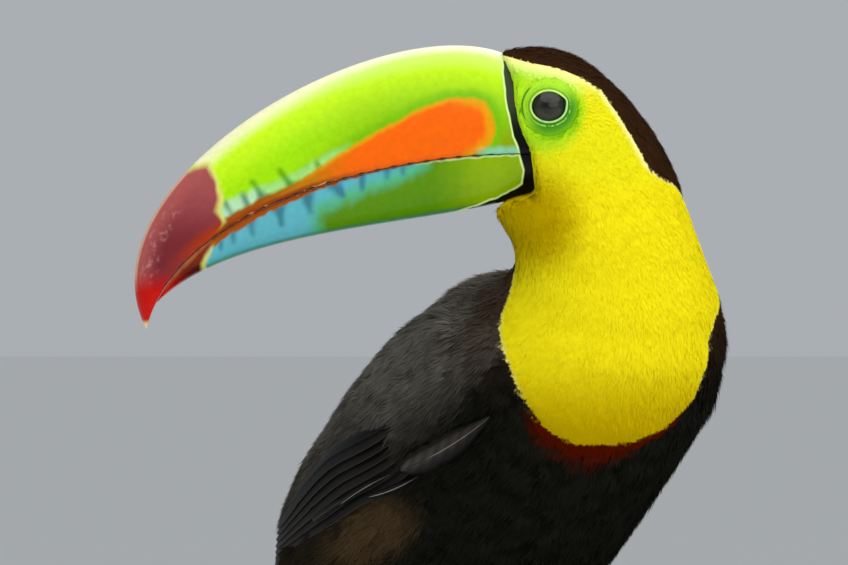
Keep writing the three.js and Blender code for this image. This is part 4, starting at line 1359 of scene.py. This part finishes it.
# %% A feather on the wing's chart


def wing_vane(side, k_at, t_from, t_to, half, base, tilt, thick, rows, tone, seed, lift=0.0, dive=0.0,
              gather=0.0):
    """A feather on the folded wing, from t_from to t_to at k_at, half wide, base above the wing's shell
    and tilted across. It rises by lift towards its tip, its root dives under its neighbours, and gather
    draws the roots of a row together and paints the overlapped side near black, as painted shadow in
    the groove under the next feather."""
    s = np.linspace(0, 1, rows)
    width = half * (0.72 + 0.28 * ease(0, 0.3, s)) * rounded_tip(s, 0.86, 0.14)

    def centre(s, wide, high):
        t = t_from + (t_to - t_from) * s
        k0 = k_at + gather * (0.17 * (1 - ease(0.16, 0.36, t)) + (0.82 - k_at) * ease(0.36, 0.66, t))
        turn = np.radians(smooth(WING["bottom"], t) - smooth(WING["top"], t))
        arc = 0.5 * (smooth(WING["wide"], t) + smooth(WING["deep"], t)) * turn
        sunk = dive * (1 - ease(0, 0.12 / (t_to - t_from), s))
        return wing_point(side, t, k0 + wide / arc, base + high + lift * s - sunk)

    sheet = vane_sheet(centre, tilt, width, thick, tone, seed)
    if gather:
        # Near black on the overlapped side: painted shadow in the groove under the next feather.
        sheet[2]["tone"] = tone - 1.2 * (1 - ease(0.2, 0.7, sheet[2]["across"]))
    return sheet


# %% Loose feathers on the near flank
# Each one: root, tip, half width, bow, lift, how pale its shaft is (a painted highlight along it),
# where that fades, and a seed.
LOOSE = [((-9.6, 253.6), (-38.2, 236), 4.3, -1.4, 0.9, 0.3, 0.62, 301),
         ((-32.6, 234.2), (-48.8, 227.2), 1.3, -0.8, 1.7, 0.9, 0.9, 302),
         ((-41.6, 234.6), (-58, 224.6), 1.2, 0.6, 2.1, 0.8, 0.9, 303),
         ((-52, 229.2), (-71, 215.4), 1.2, 0.6, 2.2, 0.25, 0.7, 304)]


def laid_vane(root, tip, half, bow, lift, pale, fades, seed):
    """One loose feather, laid on the flank from its root to its tip in side view."""
    root, tip = np.array(root), np.array(tip)
    length = np.linalg.norm(tip - root)
    along = (tip - root) / length
    aside = np.array([along[1], -along[0]])
    s = np.linspace(0, 1, 34)
    width = half * np.sqrt(np.clip(1 - (2 * s - 1) ** 4, 0.004, 1)) * (0.35 + 0.65 * ease(0, 0.5, s))

    def centre(s, wide, high):
        bent = wide + bow * 4 * s * (1 - s)
        flat = root + (s * length)[..., None] * along + bent[..., None] * aside
        deep = np.full(s.shape, np.nan)
        for i in np.ndindex(*s.shape):
            hit = form_tree.ray_cast(Vector((flat[i][0], -300, flat[i][1])), Vector((0, 1, 0)))[0]
            deep[i] = hit.y if hit else deep[i[0], 0]
        return np.stack([flat[..., 0], deep - lift - high, flat[..., 1]], -1)

    sheet = vane_sheet(centre, 0.25, width, 0.35, 0.6, seed)
    row = np.repeat(s, len(sheet[2]["pale"]) // len(s))
    across = sheet[2]["across"]
    # The pale shaft, a painted highlight, fades towards the feather's tip.
    sheet[2]["pale"] = pale * (1 - 0.85 * ease(fades, fades + 0.2, row))
    web = 0.1 + 0.78 * ease(2, 4, half) + 0.35 * row + 0.15 * np.sin(row * 47 + 6 * across)
    sheet[2]["tone"] = web - 1.5 * ease(0.5, 1.0, np.abs(across)) - 0.35 * ease(0.05, 0.4, -across)
    return sheet


# %% Folded wings: long feathers below, rows of coverts over them
for word, side in (("left", -1), ("right", 1)):
    long_ones, coverts = [], []
    for i, k in enumerate(np.linspace(0.98, 0.42, 7)):
        reach = 1.0 - 0.018 * abs(i - 3)
        long_ones.append(wing_vane(side, k - 0.06, 0.44, reach, 8.5 - 0.2 * i, -2.6 + 0.16 * i, 0.3, 0.5,
                                   44, 0.5 + 0.3 * np.sin(3 * i), 40 + i, dive=1.8))
    for i, k in enumerate(np.linspace(0.86, 0.04, 10)):
        long_ones.append(wing_vane(side, k, 0.42, 0.97 - 0.022 * i, 8.0, -1.0 + 0.1 * i, 0.32, 0.5,
                                   44, 0.5 + 0.3 * np.sin(2 * i + 1), 60 + i, dive=1.8))
    join_sheets("flight_feathers_" + word, long_ones, ["flight_" + word])
    for i, k in enumerate(np.linspace(0.87, 0.66, 6)):
        start = 0.17 + 0.02 * np.sin(7 * i)
        coverts.append(wing_vane(side, k, start, 0.66 - 0.012 * i, 4.2, -0.9 + 0.28 * i, 0.8, 0.4, 50,
                                 0.4 + 0.3 * np.sin(4 * i), 100 + i, lift=0.2, dive=2.4, gather=0.4))
    if side == 1:
        coverts += [laid_vane(*loose) for loose in LOOSE]
    join_sheets("wing_coverts_" + word, coverts)

# %% The tail's ten feathers
TAIL_ROOT, TAIL_LENGTH, TAIL_RISE = 112.0, 155.0, 8.0
tail_vanes = []
for pair in range(5):
    for side in (-1, 1):
        fan = np.radians(side * (0.5 + 1.1 * pair))
        down = -SPINE * np.cos(fan) + RIGHT * np.sin(fan)
        aside = RIGHT * np.cos(fan) + SPINE * np.sin(fan)
        root = TRUNK_AT - SPINE * TAIL_ROOT + RIGHT * side * (1.5 + 1.3 * pair)
        root = root + BACK * (TAIL_RISE - 0.8 * pair - 0.2 * side)
        length = TAIL_LENGTH - 2.2 * pair**1.5
        s = np.linspace(0, 1, 56)
        half = 10.5 * (0.55 + 0.45 * ease(0, 0.7, s)) * rounded_tip(s, 0.93, 0.07)

        def centre(s, wide, high, root=root, down=down, aside=aside, length=length):
            spot = root + down * (s * length)[..., None] + aside * wide[..., None]
            return spot + BACK * (0.55 * high)[..., None]

        tone = 0.4 + 0.2 * np.sin(pair * 3 + side)
        tail_vanes.append(vane_sheet(centre, 0.0, half, 0.7, tone, 200 + 2 * pair + side))
join_sheets("tail_feathers", tail_vanes, ["tail"])

# %% [markdown]
# ## Claws, perch and stand
# A claw is a curved cone of dark horn. The perch is a cut length of branch with rough bark and
# rings on its sawn ends. The stand is a turned hardwood disc with two ground steel rods. All are
# simple solids of revolution or tubes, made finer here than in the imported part, and the bark's
# relief is in the mesh itself.

# %% Claws


def claw_finish():
    """Claw horn: dark keratin, smooth and rather glossy, with faint mottling."""
    material, tree, surface = new_finish("claw_horn_keratin", Roughness=0.28, IOR=1.54, Coat_Weight=0.2,
                                         Coat_Roughness=0.15)
    streak = noise(tree, 1200.0, 3.0)
    wear(tree, surface, paint_over(tree, "161312", "3d3531", streak, 0.35, 0.75), streak, 0.15, 0.0002)
    return material


claw_horn_keratin = claw_finish()
CLAW_ROWS = 28
for word, side in (("left", -1), ("right", 1)):
    for number, ahead, place, reach in TOES:
        thick = smooth([1.75, 1.45, 0.9, 0.3], np.linspace(0, 1, CLAW_ROWS))
        line = grip_line(side, ahead, place, reach, reach + 40, thick, CLAW_ROWS)
        points, faces = tube(line, np.tile(RIGHT, (CLAW_ROWS, 1)), thick, 16)
        make_piece(f"claw_{word}_{number}", points, faces, [claw_horn_keratin],
                   [f"{word}_claw_{number}"])

# %% The perch


def bark_finish():
    """Dry bark: cork, fully matt, with dark cracks and flecks of grey lichen dust."""
    material, tree, surface = new_finish("dry_bark", Roughness=0.92, IOR=1.45)
    coarse, fine = noise(tree, 70.0, 7.0), noise(tree, 420.0, 5.0)
    colour = paint_over(tree, "4a3a2b", "7d6a52", coarse, 0.35, 0.65)
    colour = paint_over(tree, "2a211a", colour, "ridge", 0.1, 0.5)
    colour = paint_over(tree, colour, "a09a86", fine, 0.58, 0.72)
    rings = sine(tree, stored(tree, "core"), 3.4)
    wood = paint_over(tree, "94703f", "d2b283", rings, -1.0, 1.0)
    wood = paint_over(tree, wood, "b08d5e", coarse, 0.4, 0.7)
    wear(tree, surface, paint_over(tree, colour, wood, "sawn", 0.4, 0.6), fine, 0.6, 0.0008)
    return material


# %% The branch's bark and its sawn ends
PERCH_LENGTH = 164.0
BRANCH_ROWS, BRANCH_SIDES, SAWN_RINGS = 300, 200, 26
t = np.linspace(0, 1, BRANCH_ROWS)
swell = 1 + 0.05 * np.sin(7 * t) * np.abs(2 * t - 1)
line = PERCH_AT + RIGHT * (PERCH_LENGTH * (t - 0.5))[:, None]
turn = np.linspace(0, 2 * np.pi, BRANCH_SIDES, endpoint=False)
ring = AHEAD * np.cos(turn)[:, None] + UP * np.sin(turn)[:, None]
plain = (line[:, None] + ring * PERCH_RADIUS).reshape(-1, 3)
stretched = plain - dot(plain - PERCH_AT, RIGHT)[:, None] * RIGHT * 0.72
plates = 1 - np.abs(ripple(stretched, 7, 31)) - 0.35 * np.abs(ripple(stretched, 3.2, 32))
ridge = np.clip(plates, -0.2, 1).reshape(BRANCH_ROWS, BRANCH_SIDES)
worn = mound(np.abs(t - 0.5) * PERCH_LENGTH, FOOT_OFFSET, 11)[:, None]
radius = PERCH_RADIUS * swell[:, None] - 0.15 - (1 - ridge) * 1.3 * (1 - 0.75 * worn)
points, faces = tube(line, np.tile(AHEAD, (BRANCH_ROWS, 1)), radius, BRANCH_SIDES)
blocks, from_core = [points], []
for row, away in ((0, -1), (BRANCH_ROWS - 1, 1)):
    cut_edge = points[row * BRANCH_SIDES:(row + 1) * BRANCH_SIDES]
    shares = np.linspace(1, 0.02, SAWN_RINGS)[:, None, None]
    disc = line[row] + (cut_edge - line[row]) * shares + RIGHT * away * 0.05 * (1 - shares)
    squares = grid_faces(SAWN_RINGS, BRANCH_SIDES, closed=True, start=sum(map(len, blocks)))
    faces.append(squares[:, ::-1] if away > 0 else squares)
    blocks.append(disc.reshape(-1, 3))
    from_core.append(np.linalg.norm(blocks[-1] - line[row], axis=1))
sawn = np.concatenate([np.zeros(len(points)), np.ones(2 * SAWN_RINGS * BRANCH_SIDES)])
fields = {"ridge": np.where(sawn > 0, 0.6, 0.5), "sawn": sawn,
          "core": np.concatenate([np.zeros(len(points))] + from_core)}
fields["ridge"][:ridge.size] = ridge.ravel()
make_piece("branch", np.vstack(blocks), faces, [bark_finish()], ["perch"], fields)

# %% The stand


def turned(profile, centre, sides):
    """A solid of revolution about a vertical axis through centre."""
    profile = np.asarray(profile, float)
    a = np.linspace(0, 2 * np.pi, sides, endpoint=False)
    ring = np.stack([np.cos(a), np.sin(a), 0 * a], 1)
    points = (profile[:, :1, None] * ring + profile[:, 1:, None] * UP).reshape(-1, 3) + centre
    points = np.vstack([points, [[0, 0, profile[0, 1]]] + centre, [[0, 0, profile[-1, 1]]] + centre])
    fans = end_fans(sides, (len(profile) - 1) * sides, len(points))
    return points, [grid_faces(len(profile), sides, closed=True), fans]


def stretched_place(tree, scale):
    """The place on the stand, scaled along each axis, so that a pattern runs in lines."""
    place = put(tree, "ShaderNodeTexCoord").outputs["Object"]
    return put(tree, "ShaderNodeMapping", inputs={"Vector": place, "Scale": scale}).outputs[0]


def stand_wood_finish():
    """Oiled walnut: long grain pores under a satin oil, so light slides along it."""
    material, tree, surface = new_finish("oiled_walnut", Roughness=0.38, IOR=1.5, Coat_Weight=0.15,
                                         Coat_Roughness=0.2)
    grain = noise(tree, 3.0, 8.0, Distortion=0.6, Vector=stretched_place(tree, (9.0, 90.0, 90.0)))
    wear(tree, surface, paint_over(tree, "2c1a10", "5b3a24", grain, 0.35, 0.68), grain, 0.12, 0.0004)
    return material


def stand_steel_finish():
    """Ground stainless steel: a metal, so colour lives in the reflection, with fine marks across it."""
    material, tree, surface = new_finish("ground_stainless_steel", Metallic=1.0, Roughness=0.3)
    marks = noise(tree, 120.0, 3.0, Vector=stretched_place(tree, (1.0, 1.0, 30.0)))
    wear(tree, surface, paint_over(tree, "a9abad", "c6c8ca", marks, 0.3, 0.7))
    return material


BASE_RADIUS, BASE_HEIGHT, CHAMFER = 88.0, 14.0, 4.0
bend = np.linspace(0, np.pi / 2, 10)
rim = [(BASE_RADIUS - CHAMFER + CHAMFER * np.cos(b), BASE_HEIGHT - CHAMFER + CHAMFER * np.sin(b))
       for b in bend]
points, faces = turned([(0.5, 0), (BASE_RADIUS - 1, 0), (BASE_RADIUS, 1)] + rim + [(0.5, BASE_HEIGHT)],
                       np.zeros(3), 160)
make_piece("stand_disc", points, faces, [stand_wood_finish()], ["stand_base"])
steel = stand_steel_finish()
ROD_OFFSET = 52.0
for i, end in enumerate((1, -1)):
    foot = PERCH_AT * [1, 1, 0] + UP * (BASE_HEIGHT + 0.3) + RIGHT * end * ROD_OFFSET
    high = PERCH_AT[2] - PERCH_RADIUS - 0.2 - foot[2]
    points, faces = turned([(3.6, 0), (4, 0.5), (4, high), (0.4, high)], foot, 64)
    make_piece("stand_post_" + str(i + 1), points, faces, [steel], [f"stand_rod_{i + 1}"])

# %% [markdown]
# ## Floor, light and camera
# A plain pale floor without a visible end, one wide soft light above, a weaker one in front for the
# bill's gloss, and one behind that rims the dark back. The camera stands four metres off with a
# long lens, as a bird's portrait is taken, so the head and the breast keep their true proportions.

# %% Stage
DISTANCE = 4.0
FLOOR_REACH, FLOOR_ROWS = 60.0, 21
steps = np.linspace(-1, 1, FLOOR_ROWS)
steps = np.sign(steps) * np.abs(steps) ** 2 * FLOOR_REACH
floor_x, floor_y = np.meshgrid(steps, steps, indexing="ij")
floor_points = np.stack([floor_x, floor_y, 0 * floor_x], -1).reshape(-1, 3)
floor_mesh = bpy.data.meshes.new("floor")
floor_mesh.from_pydata(floor_points.tolist(), [], grid_faces(FLOOR_ROWS, FLOOR_ROWS).tolist())
floor_mesh.shade_smooth()
floor = new_object("floor", floor_mesh)
paper, tree, surface = new_finish("pale_backdrop_paper", Roughness=0.9)
wear(tree, surface, paint_over(tree, "f2f2f0", "f8f8f6", noise(tree, 40.0, 3.0)))
floor_mesh.materials.append(paper)


def soft_light(name, place, aim, width, power, colour):
    """A wide oval soft box that looks at aim."""
    lamp = bpy.data.lights.new(name, "AREA")
    lamp.shape = "ELLIPSE"
    lamp.size = 1.7 * width
    lamp.size_y = width
    lamp.energy = power
    lamp.color = srgb(colour)[:3]
    made = new_object(name, lamp)
    made.location = place
    made.rotation_euler = (Vector(aim) - Vector(place)).to_track_quat("-Z", "Y").to_euler()
    print(name, "gives", power, "watts of light")


BREAST = (0, 0, 0.28)
soft_light("sky_above", (0.2, -0.65, 1.5), BREAST, 1.9, 23, "ffffff")
soft_light("window_front", (0.9, -1.6, 0.7), BREAST, 1.2, 9, "fff8ee")
soft_light("rim_behind", (0.7, 1.1, 1.2), BREAST, 0.8, 6, "f4f8ff")
world = bpy.data.worlds.new("studio")
world.use_nodes = True
world.node_tree.nodes["Background"].inputs["Color"].default_value = (0.9, 0.95, 1.0, 1.0)
world.node_tree.nodes["Background"].inputs["Strength"].default_value = 0.45
bpy.context.scene.world = world
bpy.context.scene.view_settings.view_transform = "Standard"

# %% Camera
FRAME_WIDTH = 0.2714
SENSOR_WIDTH = 36
camera = new_object("camera", bpy.data.cameras.new("camera"))
camera.location = (-0.0307, HEAD_Y * MM - DISTANCE, 0.2964)
camera.rotation_euler = (np.pi / 2, 0, 0)
camera.data.sensor_width = SENSOR_WIDTH
camera.data.lens = SENSOR_WIDTH * DISTANCE / FRAME_WIDTH
camera.data.clip_end = 50
bpy.context.scene.camera = camera
print("the lens is", round(camera.data.lens), "mm long")
